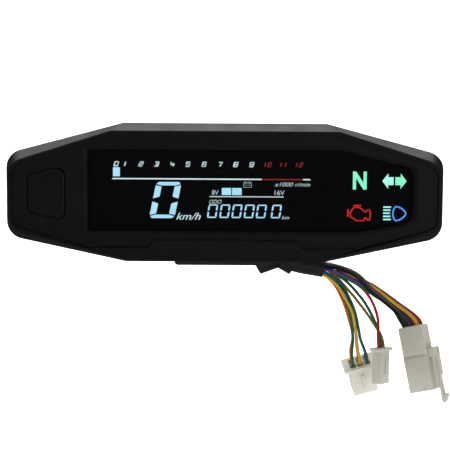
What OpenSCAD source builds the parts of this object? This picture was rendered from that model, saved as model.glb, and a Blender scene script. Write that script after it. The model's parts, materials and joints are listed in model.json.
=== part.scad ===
// Motorcycle instrument cluster: a wide liquid-crystal dash with telltales, one mode button
// and a short wiring harness that ends in three plugs.
// +X is the rider's right, +Z is up and the display faces -Y.
// The origin is midway between the two rear mounting inserts, on the face of their bosses.

/* [Body] */
// Length of the front cover at its widest
cover_length = 234.2; // [232:0.2:236]
// Height of the front cover's rear edge above the mounting axis
cover_top = 35.8; // [35.4:0.1:36.2]
// Depth of the front cover's rear edge below the mounting axis
cover_bottom = 39.2; // [38.8:0.1:39.6]
// Depth of the front cover's side wall
cover_depth = 9; // [8.8:0.1:9.2]
// Whole depth from the rim to the mounting face
total_depth = 34; // [33:0.5:36]
// Wall thickness of the mouldings
wall = 2; // [1.8:0.1:2.2]
// Depth of the panel behind the rim
panel_depth = 1.2; // [0.9:0.1:1.3]

/* [Mounting] */
// Distance between the two rear mounting inserts
mount_spacing = 50; // [44:1:56]
// Radius of the inserts' threaded hole
mount_hole_r = 2.5; // [2:0.1:2.6]
// Depth of the inserts' threaded hole
mount_hole_depth = 8; // [7:0.5:9]

/* [Button] */
// Travel of the mode button
button_travel = 0.8; // [0.5:0.1:0.8]
// Gap around the mode button
button_gap = 0.35; // [0.3:0.05:0.4]

/* [Harness] */
// Outside diameter of one lead
lead_d = 1.4; // [1.2:0.1:1.4]
// Outside diameter of the harness sleeve
sleeve_d = 9.6; // [9.2:0.1:9.6]
// Pitch of the terminals in the plugs
terminal_pitch = 4; // [3.9:0.1:4.1]

/* [Hidden] */
fine = 48;
arc_steps = 8;
skin = 0.2;
over = 0.5;
half_length = cover_length / 2;

// ---- Depths behind the rim face ----
chamfer_depth = panel_depth + 1.3;
panel_back = panel_depth + wall;
gasket_back = panel_back + 0.5;
lens_back = gasket_back + 2;
frame_front = lens_back + 0.3;
frame_back = frame_front + 1;
glass_front = frame_back + 0.35;
glass_back = glass_front + 2.2;
board_front = 15;
board_back = board_front + 1.6;
flange_back = cover_depth + 1.8;
tub_back = 24;
block_front = 10;
block_back = 26.4;
sleeve_y = 19 - total_depth;

// ---- Outlines: each is drawn clockwise from its upper left corner, as [x, z] ----
function octagon(half_len, top, bottom, top_half, bottom_half, top_slope, bottom_slope) = [
    [-top_half, top],
    [top_half, top],
    [half_len, top - (half_len - top_half) * top_slope],
    [half_len, -bottom + (half_len - bottom_half) * bottom_slope],
    [bottom_half, -bottom],
    [-bottom_half, -bottom],
    [-half_len, -bottom + (half_len - bottom_half) * bottom_slope],
    [-half_len, top - (half_len - top_half) * top_slope]];
rear_edge = octagon(half_length, cover_top, cover_bottom, 54.4, 53, 0.268, 0.215);
front_edge = octagon(half_length - 1.5, cover_top - 3.2, cover_bottom - 1.5, 61, 50.5, 0.32, 0.25);
panel_edge = octagon(half_length - 3.4, cover_top - 6, cover_bottom - 8.6, 60, 73, 0.315, 0.285);
edge_radii = [4, 4, 10, 10, 4, 4, 10, 10];
panel_radii = [3, 3, 7, 7, 3, 3, 7, 7];
window_edge = [[-73.1, 22.2], [61, 22.2], [100.6, 12.8], [100.6, -16.5], [71, -21.6], [-73.1, -21.6]];
window_radii = [1.6, 5, 5.5, 6, 6, 1.6];
button_edge = [[-105, 8], [-85.5, 13.2], [-85.5, -15.9], [-105, -11.4]];
button_radii = [2.5, 4.5, 3.2, 2.5];
chin = [[-38, -26.6], [38, -26.6], [41.5, -31.5], [-41.5, -31.5]];
tub_edge = octagon(half_length, cover_top, cover_bottom - 2.4, 54.4, 53, 0.268, 0.215);
board_edge = octagon(104, 23.4, 25.4, 54, 52, 0.268, 0.215);

// ---- Geometry of a corner ----
function unit(v) = v / norm(v);
function turn(i, n) = (i + n) % n;
function bisector(a, b, c) = unit(unit(a - b) + unit(c - b));
function half_angle(a, b, c) = acos(unit(a - b) * unit(c - b)) / 2;
function wrap(angle) = angle > 180 ? angle - 360 : angle < -180 ? angle + 360 : angle;
function heading(v) = atan2(v[1], v[0]);
function arc(centre, from, to, r) = let (a0 = heading(from - centre), sweep = wrap(heading(to - centre) - a0))
    [for (i = [0:arc_steps]) centre + r * [cos(a0 + sweep * i / arc_steps), sin(a0 + sweep * i / arc_steps)]];
function fillet(a, b, c, r) = let (
        half = half_angle(a, b, c),
        reach = r / tan(half),
        centre = b + bisector(a, b, c) * r / sin(half))
    arc(centre, b + unit(a - b) * reach, b + unit(c - b) * reach, r);
// Points moved inwards by a distance, or outwards by a negative one
function inset(p, d) = let (n = len(p))
    [for (i = [0:n - 1]) let (a = p[turn(i - 1, n)], b = p[i], c = p[turn(i + 1, n)])
        b + bisector(a, b, c) * d / sin(half_angle(a, b, c))];
function rounded(p, radii) = let (n = len(p))
    [for (i = [0:n - 1]) each fillet(p[turn(i - 1, n)], p[i], p[turn(i + 1, n)], radii[i])];
function rect(x0, x1, z0, z1) = [[x0, z1], [x1, z1], [x1, z0], [x0, z0]];

// An outline as a plate between two depths behind the rim face
module plate(outline, near, far) {
    translate([0, far - total_depth, 0]) rotate([90, 0, 0]) linear_extrude(height = far - near) polygon(outline);
}

// A wall that follows an outline between two depths
module wall_ring(outline, radii, outside, inside, near, far) {
    difference() {
        plate(rounded(inset(outline, outside), radii), near, far);
        plate(rounded(inset(outline, inside), radii), near - over, far + over);
    }
}

// A round post between two depths
module post(x, z, r, near, far) {
    translate([x, far - total_depth, z]) rotate([90, 0, 0]) cylinder(r = r, h = far - near, $fn = fine);
}

// ---- Front cover ----
seal_outside = 7.8;
seal_inside = 8.3;
screw_spots = [[-50, 30.8], [50, 30.8], [-48, -34.2], [48, -34.2], [-111.9, -1], [111.9, -1]];
boss_r = 2.5;
screw_r = 1.2;

module cover_shell() {
    difference() {
        hull() {
            plate(rounded(front_edge, edge_radii), 0, skin);
            plate(rounded(rear_edge, edge_radii), cover_depth - skin, cover_depth);
        }
        hull() {
            plate(rounded(inset(front_edge, wall), edge_radii), panel_back, panel_back + skin);
            plate(rounded(inset(rear_edge, wall), edge_radii), cover_depth, cover_depth + skin);
        }
        difference() {
            plate(rounded(panel_edge, panel_radii), -over, panel_depth);
            plate(chin, -over, panel_depth + over);
        }
        hull() {
            plate(rounded(inset(window_edge, -1.7), window_radii), panel_depth - skin, panel_depth);
            plate(rounded(window_edge, window_radii), chamfer_depth, chamfer_depth + skin);
        }
        plate(rounded(window_edge, window_radii), panel_depth, panel_back + over);
        plate(rounded(inset(button_edge, -button_gap), button_radii), -over, panel_back + over);
    }
}

module front_cover() {
    color([0.1, 0.1, 0.11]) {
        difference() {
            union() {
                cover_shell();
                for (p = screw_spots) post(p[0], p[1], boss_r, panel_back - over, cover_depth);
                difference() {
                    wall_ring(rear_edge, edge_radii, seal_outside, seal_inside, panel_back - over, cover_depth - 1);
                    plate(rounded(inset(window_edge, -lens_lip - 0.4), window_radii), panel_back, cover_depth);
                }
            }
            for (p = screw_spots) post(p[0], p[1], screw_r, panel_back + 0.8, cover_depth + over);
        }
    }
}

// ---- Lens and its gasket ----
lens_lip = 1.9;
lens_gap = 0.15;

module smoked_lens() {
    color([0.06, 0.06, 0.08, 0.7]) {
        plate(rounded(inset(window_edge, -lens_lip), window_radii), gasket_back, lens_back);
        plate(rounded(inset(window_edge, lens_gap), window_radii), chamfer_depth, gasket_back + skin);
    }
}

module lens_gasket() {
    color([0.05, 0.05, 0.05]) wall_ring(window_edge, window_radii, -lens_lip + 0.2, -0.4, panel_back, gasket_back);
}

// ---- Rear housing ----
tub_inset = 8.4;
tub_chamfer = 3;
block_half = 27;
block_low = -41.3;
outlet_z = -34.3;
outlet_r = 5.8;
vent_spot = [-70, 4];
vent_r = 4;
boss_outer_r = 8;
insert_r = 4;
board_spots = [[-98, 8], [101.8, 8], [-79, -15], [62, -21]];

module mount_bosses() {
    for (side = [-1, 1]) {
        post(side * mount_spacing / 2, 0, boss_outer_r, tub_back - wall, total_depth);
        for (turned = [0:60:300]) {
            translate([side * mount_spacing / 2, 0, 0]) rotate([0, turned, 0])
                translate([boss_outer_r - 1, tub_back - total_depth - 0.2, -0.9]) cube([6, 5, 1.8]);
        }
    }
}

module outlet_block() {
    plate(rounded(rect(-block_half, block_half, block_low, -18), [1, 1, 2, 2]), block_front, block_back);
}

module outlet_hollow() {
    plate(rect(-block_half + wall, block_half - wall, block_low + wall, -20), block_front + wall, block_back - wall);
}

// A solid tub with its back edge chamfered, drawn in from its outline
module tub(drawn_in, front, back) {
    plate(rounded(inset(tub_edge, drawn_in), edge_radii), front, back - tub_chamfer);
    hull() {
        plate(rounded(inset(tub_edge, drawn_in), edge_radii), back - tub_chamfer - skin, back - tub_chamfer);
        plate(rounded(inset(tub_edge, drawn_in + tub_chamfer), edge_radii), back - skin, back);
    }
}

module rear_housing() {
    color([0.12, 0.12, 0.13]) difference() {
        union() {
            plate(rounded(inset(rear_edge, 0.6), edge_radii), cover_depth, flange_back);
            tub(tub_inset, cover_depth - 1.8, tub_back);
            outlet_block();
            mount_bosses();
        }
        tub(tub_inset + 1.6, cover_depth - 3, tub_back - wall);
        outlet_hollow();
        for (p = screw_spots) post(p[0], p[1], screw_r + 0.3, cover_depth - over, flange_back + over);
        for (side = [-1, 1]) {
            post(side * mount_spacing / 2, 0, insert_r, total_depth - mount_hole_depth - 1, total_depth + over);
        }
        post(vent_spot[0], vent_spot[1], 2.5, tub_back - wall - over, tub_back + over);
        translate([block_half - wall - over, sleeve_y, outlet_z]) rotate([0, 90, 0])
            cylinder(r = outlet_r, h = wall + 2 * over, $fn = fine);
        post(clip_spot[0], clip_spot[1], 1.2, block_back - wall - over, block_back + over);
    }
    color([0.12, 0.12, 0.13]) for (p = board_spots) difference() {
        post(p[0], p[1], 3, board_back, tub_back - wall + 0.2);
        post(p[0], p[1], 1.1, board_back - over, tub_back - wall - 0.4);
    }
}

module housing_seal() {
    color([0.08, 0.08, 0.08])
        wall_ring(rear_edge, edge_radii, seal_outside - 0.2, seal_inside, cover_depth - 1, cover_depth);
}

// A pan-head self-tapping screw that points towards the display
module pan_screw(x, z, head_face, length, r, head_r) {
    post(x, z, r, head_face - length, head_face + skin);
    difference() {
        union() {
            post(x, z, head_r, head_face, head_face + 1.1);
            post(x, z, head_r * 0.8, head_face + 1, head_face + 1.6);
        }
        for (turned = [0, 90]) {
            translate([x, head_face + 1.2 - total_depth, z]) rotate([0, turned, 0])
                translate([-head_r * 0.5, 0, -0.3]) cube([head_r, 1, 0.6]);
        }
    }
}

module housing_screws() {
    color([0.6, 0.6, 0.62]) for (p = screw_spots) pan_screw(p[0], p[1], flange_back, 6.4, screw_r, 2.6);
}

module vent_plug() {
    color([0.09, 0.09, 0.09]) {
        difference() {
            union() {
                post(vent_spot[0], vent_spot[1], 2.45, tub_back - wall - 0.8, tub_back + skin);
                post(vent_spot[0], vent_spot[1], vent_r, tub_back, tub_back + 1.4);
            }
            post(vent_spot[0], vent_spot[1], 0.9, tub_back - wall - 1, tub_back + 1);
        }
    }
}

module mount_inserts() {
    color([0.8, 0.62, 0.25]) for (side = [-1, 1]) difference() {
        post(side * mount_spacing / 2, 0, insert_r, total_depth - mount_hole_depth - 1, total_depth);
        post(side * mount_spacing / 2, 0, mount_hole_r, total_depth - mount_hole_depth, total_depth + over);
    }
}

// ---- Display stack ----
display_left = -67;
display_right = 52;
display_low = -19.4;
display_top = 18.2;
glass_margin = 2;
tell_left = 56;
tell_right = 98.8;
tell_low = -16.6;
tell_top = 12.6;
stem_spot = [-95, -1.5];
stem_r = 2.5;
stem_end = 10;
tell_spots = [[71.4, 6.6], [90.4, 6.6], [71.4, -10.8], [90.4, -10.8]];

module display_frame() {
    color([0.06, 0.06, 0.06]) intersection() {
        plate(rounded(inset(tub_edge, tub_inset + 1.9), edge_radii), frame_front, board_front);
        union() {
            difference() {
                union() {
                    plate(rounded(inset(window_edge, -2), window_radii), frame_front, frame_back);
                    plate(rect(-103.5, -74, -17.5, 11), frame_back, frame_back + 1.2);
                }
                plate(rect(display_left, display_right, display_low, display_top), frame_front - over,
                    frame_back + over);
                plate(rounded(rect(tell_left, tell_right, tell_low, tell_top), [1, 5, 5, 1]), frame_front - over,
                    frame_back + over);
                post(stem_spot[0], stem_spot[1], stem_r + 0.1, frame_front, frame_back + 2);
            }
            difference() {
                plate(rect(display_left - 3.5, display_right + 3.2, display_low - 3.5, display_top + 2.5),
                    frame_back - skin, board_front);
                plate(rect(display_left - 2.3, display_right + 2.2, display_low - 2.3, display_top + 1.5),
                    frame_back, board_front + over);
                plate(rect(display_left, display_right, display_low, display_top), frame_back - over, frame_back + over);
            }
            for (p = board_spots) difference() {
                post(p[0], p[1], 2.4, frame_back - skin, board_front);
                post(p[0], p[1], 1.1, frame_back + 2.4, board_front + over);
            }
            plate(rect(99.7, 104, 5.6, 10.4), frame_front, frame_back + 1.2);
            plate(rect(56.6, 64.4, -23.2, -18), frame_front, frame_back + 1.2);
        }
    }
}

module lcd_glass() {
    color([0.16, 0.18, 0.17]) {
        plate(rect(display_left - glass_margin, display_right + glass_margin, display_low, display_top + 1.2),
            glass_front, glass_front + 1.1);
        plate(rect(display_left - glass_margin, display_right + glass_margin, display_low - 2, display_top + 1.2),
            glass_front + 1.1, glass_back);
    }
}

module lcd_polarizers() {
    color([0.1, 0.1, 0.12]) {
        plate(rect(display_left - 1, display_right + 1, display_low + 0.4, display_top + 0.6),
            glass_front - 0.2, glass_front);
        plate(rect(display_left - 1, display_right + 1, display_low + 0.4, display_top + 0.6),
            glass_back, glass_back + 0.2);
    }
}

pin_count = 36;
pin_pitch = 2.54;

module lcd_pins() {
    color([0.75, 0.75, 0.72]) for (i = [0:pin_count - 1]) {
        translate([-53 + i * pin_pitch, glass_front - total_depth + 0.2, display_low - 2]) {
            cube([0.5, 0.9, 1.6]);
            translate([0, 0, -0.28]) cube([0.5, board_back - glass_front + 0.8, 0.28]);
        }
    }
}

module light_guide() {
    color([0.9, 0.92, 0.95, 0.6])
        plate(rect(display_left - 0.5, display_right + 0.5, display_low + 0.5, display_top), glass_back + 0.3, 13);
}

module backlight_reflector() {
    color([0.92, 0.92, 0.9])
        plate(rect(display_left - 0.5, display_right + 0.5, display_low + 0.5, display_top), 13, 13.3);
}

module backlight_leds() {
    color([0.95, 0.92, 0.7]) for (i = [0:5]) {
        plate(rect(-60 + i * 21, -56.5 + i * 21, display_top + 0.1, display_top + 1.3), 11, board_front);
    }
}

module telltale_film() {
    color([0.03, 0.03, 0.03])
        plate(rounded(rect(tell_left - 0.6, tell_right + 0.6, tell_low - 0.6, tell_top + 0.6), [1, 5, 5, 1]),
            frame_back + 0.02, frame_back + 0.3);
}

module telltale_lightbox() {
    color([0.93, 0.93, 0.9]) difference() {
        plate(rounded(rect(tell_left, tell_right, tell_low, tell_top), [1, 4.5, 4.5, 1]), frame_back + 0.35, board_front);
        for (p = tell_spots) {
            plate(rounded(rect(p[0] - 7.2, p[0] + 7.2, p[1] - 6.8 + 1.4, p[1] + 5.2), [1, 1, 1, 1]),
                frame_back, board_front + over);
        }
    }
}

module telltale_leds() {
    color([0.95, 0.95, 0.85]) for (p = tell_spots) {
        plate(rect(p[0] - 1.75, p[0] + 1.75, p[1] - 1.4, p[1] + 1.4), board_front - 1.9, board_front);
    }
}

// ---- Circuit board ----
module circuit_board() {
    color([0.05, 0.3, 0.14]) difference() {
        plate(rounded(board_edge, [2, 2, 3, 3, 2, 2, 3, 3]), board_front, board_back);
        for (p = board_spots) post(p[0], p[1], 1.4, board_front - over, board_back + over);
        for (i = [0:pin_count - 1]) {
            plate(rect(-53.1 + i * pin_pitch, -52.4 + i * pin_pitch, display_low - 2.4, display_low - 1.8),
                board_front - over, board_back + over);
        }
    }
}

module board_screws() {
    color([0.6, 0.6, 0.62]) for (p = board_spots) {
        post(p[0], p[1], 1.05, board_front - 3, board_back + 3);
    }
}

// A chip with leads along two or four sides
module chip(x, z, side, thick, leads) {
    color([0.08, 0.08, 0.08])
        plate(rect(x - side / 2, x + side / 2, z - side / 2, z + side / 2), board_back + 0.2, board_back + thick);
    color([0.75, 0.75, 0.75]) for (turned = [0:90:270]) {
        translate([x, 0, z]) rotate([0, turned, 0]) for (i = [0:leads - 1]) {
            translate([(i - (leads - 1) / 2) * side * 0.86 / (leads - 1) - 0.2, board_back - total_depth, side / 2 - 0.1])
                cube([0.4, 0.5, 1.1]);
        }
    }
}

module microcontroller() { chip(-22, 4, 12, 1.6, 12); }

module lcd_driver() { chip(14, 4, 10, 1.4, 10); }

module voltage_regulator() {
    color([0.1, 0.1, 0.1]) plate(rect(38, 44.6, -8, -1.8), board_back, board_back + 2.3);
    color([0.75, 0.75, 0.75]) {
        plate(rect(38.6, 44, -1.8, -0.4), board_back, board_back + 0.8);
        for (i = [0:2]) plate(rect(38.6 + i * 2.3, 39.4 + i * 2.3, -10.4, -8), board_back, board_back + 0.6);
    }
}

module capacitors() {
    color([0.7, 0.7, 0.72]) for (p = [[52, -4], [52, 5], [-44, -10]]) {
        post(p[0], p[1], 3.1, board_back + 0.8, board_back + 5);
        plate(rect(p[0] - 3.2, p[0] + 3.2, p[1] - 3.2, p[1] + 3.2), board_back, board_back + 0.9);
    }
}

module small_components() {
    color([0.5, 0.5, 0.5]) {
        for (i = [0:7], j = [0:1]) {
            plate(rect(-40 + i * 8, -38 + i * 8, -13 + j * 25, -11.8 + j * 25), board_back, board_back + 0.6);
        }
        for (i = [0:3]) plate(rect(64 + i * 7, 67 + i * 7, -6, -4.4), board_back, board_back + 1.2);
        plate(rounded(rect(-40, -34.6, 4, 6.4), [1, 1, 1, 1]), board_back, board_back + 3);
    }
}

header_low = -27.4;

module harness_header() {
    color([0.93, 0.92, 0.88]) plate(rect(-14, 10, header_low, -22.6), board_back, board_back + 5.2);
}

// ---- Mode button and its switch ----
module mode_button() {
    color([0.09, 0.09, 0.1]) {
        plate(rounded(button_edge, button_radii), panel_depth - 0.6, panel_back + 1.4);
        plate(rounded(inset(button_edge, -1.4), button_radii), panel_back + 0.2, panel_back + 1.2);
        post(stem_spot[0], stem_spot[1], stem_r, panel_back + 1.2, stem_end);
    }
}

module button_seal() {
    color([0.15, 0.15, 0.15]) difference() {
        post(stem_spot[0], stem_spot[1], 4.6, frame_back - 1.1, frame_back - 0.02);
        post(stem_spot[0], stem_spot[1], stem_r + 0.08, frame_front - 1, frame_back + over);
    }
}

module switch_base() {
    color([0.12, 0.12, 0.12]) difference() {
        plate(rect(stem_spot[0] - 3, stem_spot[0] + 3, stem_spot[1] - 3, stem_spot[1] + 3), 11.4, board_front);
        post(stem_spot[0], stem_spot[1], 1.75, 11, 14.4);
    }
    color([0.75, 0.75, 0.75]) for (sx = [-1, 1], sz = [-1, 1]) {
        translate([stem_spot[0] + sx * 3.4 - 0.4, board_front - total_depth - 1, stem_spot[1] + sz * 2.2 - 0.35])
            cube([0.8, 1, 0.7]);
    }
}

module switch_plunger() {
    color([0.2, 0.2, 0.2]) post(stem_spot[0], stem_spot[1], 1.7, stem_end, 13.5);
}

// ---- Harness outlet ----
clip_spot = [19.4, -37.6];
clip_centre = [35.2, sleeve_y, -40.1];
clip_tilt = 30;
clip_half = 3.6;

module harness_grommet() {
    color([0.07, 0.07, 0.07]) difference() {
        translate([block_half, sleeve_y, outlet_z]) rotate([0, 90, 0]) difference() {
            union() {
                translate([0, 0, -wall]) cylinder(r = outlet_r, h = wall + 0.2, $fn = fine);
                cylinder(r = outlet_r + 0.7, h = 0.8, $fn = fine);
            }
            translate([0, 0, -5]) cylinder(r = sleeve_d / 2 + 0.5, h = 9, $fn = fine);
        }
        plate(rect(block_half, block_half + 2, block_low, -20), cover_depth, flange_back + 0.1);
    }
}

clip_plate = [[13.1, -37.6], [26, -30.4], [38.6, -35.6], [38, -42.2], [19.9, -48.9]];

module harness_clip() {
    color([0.05, 0.05, 0.05]) difference() {
        union() {
            plate(clip_plate, block_back, block_back + 1.6);
            translate(clip_centre) rotate([0, clip_tilt, 0]) {
                rotate([0, 90, 0]) translate([0, 0, -clip_half])
                    cylinder(r = sleeve_d / 2 + 1.6, h = 2 * clip_half, $fn = fine);
                translate([-clip_half + 0.3, 0, -3])
                    cube([2 * clip_half - 0.6, block_back - total_depth - sleeve_y + 0.9, 6]);
            }
        }
        translate(clip_centre) rotate([0, clip_tilt + 90, 0]) translate([0, 0, -20])
            cylinder(r = sleeve_d / 2 + 0.5, h = 40, $fn = fine);
        post(clip_spot[0], clip_spot[1], 1.4, block_back - over, block_back + 3);
    }
}

module clip_screw() {
    color([0.6, 0.6, 0.62]) pan_screw(clip_spot[0], clip_spot[1], block_back + 1.6, 4.4, 1.15, 2.3);
}

// ---- Swept tubes ----
// A ring of points round a spot on a route, square to the tangent there
function ring(centre, tangent, r, sides) = let (
        side = unit(cross(tangent, [0, 1, 0])),
        up = cross(side, tangent))
    [for (k = [0:sides - 1]) centre + r * (cos(360 * k / sides) * side + sin(360 * k / sides) * up)];
function tangent(p, i) = unit(p[min(i + 1, len(p) - 1)] - p[max(i - 1, 0)]);
function blend(a, b, t) = a + (b - a) * t;

module tube(route, r0, r1, sides) {
    last = len(route) - 1;
    points = [for (i = [0:last]) each ring(route[i], tangent(route, i), blend(r0, r1, i / last), sides)];
    skin_faces = [for (i = [0:last - 1], k = [0:sides - 1]) let (a = i * sides + k, b = i * sides + (k + 1) % sides)
        each [[a, b, b + sides], [a, b + sides, a + sides]]];
    polyhedron(points, concat(skin_faces, [[for (k = [sides - 1:-1:0]) k], [for (k = [0:sides - 1]) last * sides + k]]),
        convexity = 6);
}

// Sleeve route as [x, z], from inside the outlet block to its open end
sleeve_line = [[16, -34.3], [19, -34.3], [22, -34.3], [25, -34.3], [27.8, -34.4], [30, -35.8], [31.9, -37.6],
    [33.4, -39], [35.4, -40.2], [38, -41.2], [41, -42], [44, -42.6], [47, -43.1], [50, -43.6], [52.9, -44.1]];
sleeve_route = [for (p = sleeve_line) [p[0], sleeve_y, p[1]]];

module harness_sleeve() {
    color([0.04, 0.04, 0.04]) tube(sleeve_route, sleeve_d / 2, sleeve_d / 2, 20);
}

inner_line = [[16, -34.3], [13, -34.2], [10, -33.9], [7, -33.4], [4.4, -32.6], [2, -31], [0.8, -29], [0.5, header_low]];
inner_route = [for (p = inner_line) [p[0], sleeve_y, p[1]]];

module inner_leads() {
    color([0.5, 0.2, 0.15]) tube(inner_route, 4, 2.4, 12);
}

// ---- Plugs: each is drawn hanging from its top face, then turned and moved into place ----
plug_a_top = [74.4, -14.2, -96.3];
plug_a_turn = [27.5, -13, 4];
plug_b_top = [85.6, -23, -86.4];
plug_b_turn = [-8, 1, 66];
socket_c_top = [103.5, -14, -76.1];
socket_c_turn = [-12, -11, -20];
cavity = 3.2;

// Turns about Z, then X, then Y, as a hanging plug swings
function spin(p, a) = [p[0] * cos(a) - p[1] * sin(a), p[0] * sin(a) + p[1] * cos(a), p[2]];
function pitch(p, a) = [p[0], p[1] * cos(a) - p[2] * sin(a), p[1] * sin(a) + p[2] * cos(a)];
function lean(p, a) = [p[0] * cos(a) + p[2] * sin(a), p[1], -p[0] * sin(a) + p[2] * cos(a)];
function hung(p, turned) = lean(pitch(spin(p, turned[2]), turned[0]), turned[1]);

module hang(top, turned) {
    translate(top) rotate([0, turned[1], 0]) rotate([turned[0], 0, 0]) rotate([0, 0, turned[2]]) children();
}

// The places of a plug's terminals across its top face
function grid(columns, rows) = [for (j = [0:rows - 1], i = [0:columns - 1])
    [(i - (columns - 1) / 2) * terminal_pitch, (j - (rows - 1) / 2) * terminal_pitch, 0]];

module block_at(width, thick, top, bottom) {
    translate([-width / 2, -thick / 2, bottom]) cube([width, thick, top - bottom]);
}

module cavities(spots, top, bottom) {
    for (p = spots) translate([p[0], p[1], 0]) block_at(cavity, cavity, top + over, bottom);
}

// A crimped terminal that hangs in its cavity
module terminals(spots, bottom) {
    for (p = spots) translate([p[0], p[1], bottom]) {
        translate([0, 0, -bottom - 4]) cylinder(r = 0.9, h = 4, $fn = 24);
        translate([-1.2, -0.8, 0]) cube([2.4, 1.6, -bottom - 4]);
    }
}

plug_length = 19.6;
plug_flange = 1.8;

module plug_body(columns, rows, width, thick, overhang) {
    difference() {
        union() {
            block_at(width + 2 * overhang, thick + 2, 0, -plug_flange);
            block_at(width, thick, -plug_flange + skin, -plug_length);
            translate([0, -thick / 2, -plug_length + 5]) block_at(1.2, 1.6, plug_length - 5 - plug_flange, -4);
        }
        cavities(grid(columns, rows), 0, -plug_length - over);
    }
}

module plug_a() {
    color([0.9, 0.9, 0.87]) hang(plug_a_top, plug_a_turn) plug_body(3, 2, 13.6, 9.4, 2.6);
}

module plug_b() {
    color([0.9, 0.9, 0.87]) hang(plug_b_top, plug_b_turn) plug_body(3, 1, 13.2, 5.4, 1.5);
}

module plug_a_terminals() {
    color([0.8, 0.7, 0.4]) hang(plug_a_top, plug_a_turn) terminals(grid(3, 2), -plug_length + 1.5);
}

module plug_b_terminals() {
    color([0.8, 0.7, 0.4]) hang(plug_b_top, plug_b_turn) terminals(grid(3, 1), -plug_length + 1.5);
}

// Socket C: a terminal block above, an open shroud below and a latch on one side
socket_side = 13.2;
socket_split = 16.4;
socket_bottom = 36;
shroud_side = 13.4;
latch_x = shroud_side / 2 + 3;
latch_z = -15;
latch_half = 2.3;
latch_pin_r = 0.6;

module latch_ears() {
    for (side = [-1, 1]) difference() {
        translate([socket_side / 2 - 0.2, side * (latch_half + 0.95) - 0.6, latch_z - 3.2])
            cube([latch_x - socket_side / 2 + 1.6, 1.2, 5]);
        translate([latch_x, 0, latch_z]) rotate([90, 0, 0]) cylinder(r = latch_pin_r + 0.06, h = 20, center = true, $fn = 24);
    }
}

module socket_c() {
    color([0.92, 0.92, 0.9]) hang(socket_c_top, socket_c_turn) {
        difference() {
            union() {
                block_at(socket_side, socket_side, 0, -socket_split);
                block_at(shroud_side, shroud_side, -socket_split + skin, -socket_bottom);
            }
            cavities(grid(3, 3), 0, -socket_split - 1.5);
            block_at(shroud_side - 2.6, shroud_side - 2.6, -socket_split - 1, -socket_bottom - over);
        }
        latch_ears();
    }
}

module socket_c_terminals() {
    color([0.8, 0.7, 0.4]) hang(socket_c_top, socket_c_turn) {
        terminals(grid(3, 3), -socket_split - 0.8);
        for (p = grid(3, 3)) translate([p[0] - 0.9, p[1] - 0.3, -socket_split - 8]) cube([1.8, 0.6, 7.4]);
    }
}

latch_drop = 29;

module socket_c_latch() {
    color([0.92, 0.92, 0.9]) hang(socket_c_top, socket_c_turn) translate([latch_x, 0, latch_z]) {
        rotate([90, 0, 0]) cylinder(r = 1.2, h = 2 * latch_half, center = true, $fn = fine);
        rotate([90, 0, 0]) cylinder(r = latch_pin_r, h = 2 * latch_half + 2, center = true, $fn = 24);
        translate([-0.6, -latch_half, -latch_drop]) cube([1.5, 2 * latch_half, latch_drop]);
        translate([0.8, -latch_half, -14]) cube([1.2, 2 * latch_half, 12.6]);
        translate([0, latch_half, -latch_drop]) rotate([90, 0, 0])
            linear_extrude(height = 2 * latch_half) polygon([[-0.6, 0], [0.9, 0], [2.9, 3.4], [2.9, 4.8], [0.9, 4.8], [-0.6, 4.8]]);
    }
}

// ---- Leads ----
// Guide routes, chosen by hand, from the sleeve's open end to the top of each plug
route_a = [[52.9, -15, -44.1], [56, -15, -45.6], [59, -15.2, -48], [61.8, -15.6, -51], [64.2, -16.2, -54.6],
    [66.2, -16.9, -58.6], [67.9, -17.6, -62.6], [69.3, -18.2, -66.6], [70.4, -18.7, -70.6], [71.2, -19, -74.6],
    [71.9, -19, -78.6], [72.4, -18.6, -82.4], [72.8, -17.8, -86], [73.3, -16.8, -89.4], [74, -15.6, -92.8],
    [74.4, -14.2, -96.3]];
route_b_red = [[52.9, -15, -44.1], [57, -14.6, -45], [61, -13.6, -46.8], [65, -12, -49], [69, -10.6, -51.4],
    [72.8, -10.2, -53.8], [76.2, -11, -56.4], [79, -12.6, -59.6], [81.2, -14.4, -63.2], [82.8, -16.2, -67],
    [83.9, -17.8, -71], [84.6, -19.4, -75], [85, -20.8, -79], [85.3, -22, -82.8], [85.6, -23, -86.4]];
route_b_green = [[52.9, -15, -44.1], [56.8, -14.4, -45.4], [60.6, -13, -47.4], [64.2, -11.6, -50],
    [67.6, -10.6, -52.8], [70.8, -10.6, -56], [73.8, -11.6, -59.4], [76.6, -13.2, -62.8], [78.9, -15, -66.4],
    [80.9, -16.8, -70], [82.5, -18.4, -73.6], [83.8, -20, -77], [84.7, -21.2, -80.2], [85.3, -22.2, -83.4],
    [85.6, -23, -86.4]];
route_b_olive = [[52.9, -15, -44.1], [56.4, -14, -45.8], [59.8, -12.4, -48.4], [63, -11.2, -51.4],
    [66, -10.8, -54.6], [68.8, -11.2, -57.8], [71.6, -12.2, -61], [74.2, -13.6, -64.2], [76.8, -15.2, -67.4],
    [79.2, -16.8, -70.6], [81.4, -18.4, -73.8], [83.2, -20, -77], [84.5, -21.3, -80.2], [85.2, -22.3, -83.4],
    [85.6, -23, -86.4]];
route_c = [[52.9, -15, -44.1], [57, -15, -44.6], [61, -14.8, -45.4], [65, -14.6, -46.8], [69, -14.4, -48.6],
    [73, -14.2, -50.8], [77, -14, -53.2], [81, -13.6, -55.8], [84.8, -13, -58.5], [88.4, -12.4, -61.2],
    [91.8, -12, -63.8], [95, -12, -66.4], [97.8, -12.2, -68.8], [100.2, -12.8, -71.2], [102.2, -13.4, -73.6],
    [103.5, -14, -76.1]];

lead_step = 1.62;
row_step = lead_step * 0.87;
function ease(t) = t <= 0 ? 0 : t >= 1 ? 1 : t * t * (3 - 2 * t);
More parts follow.
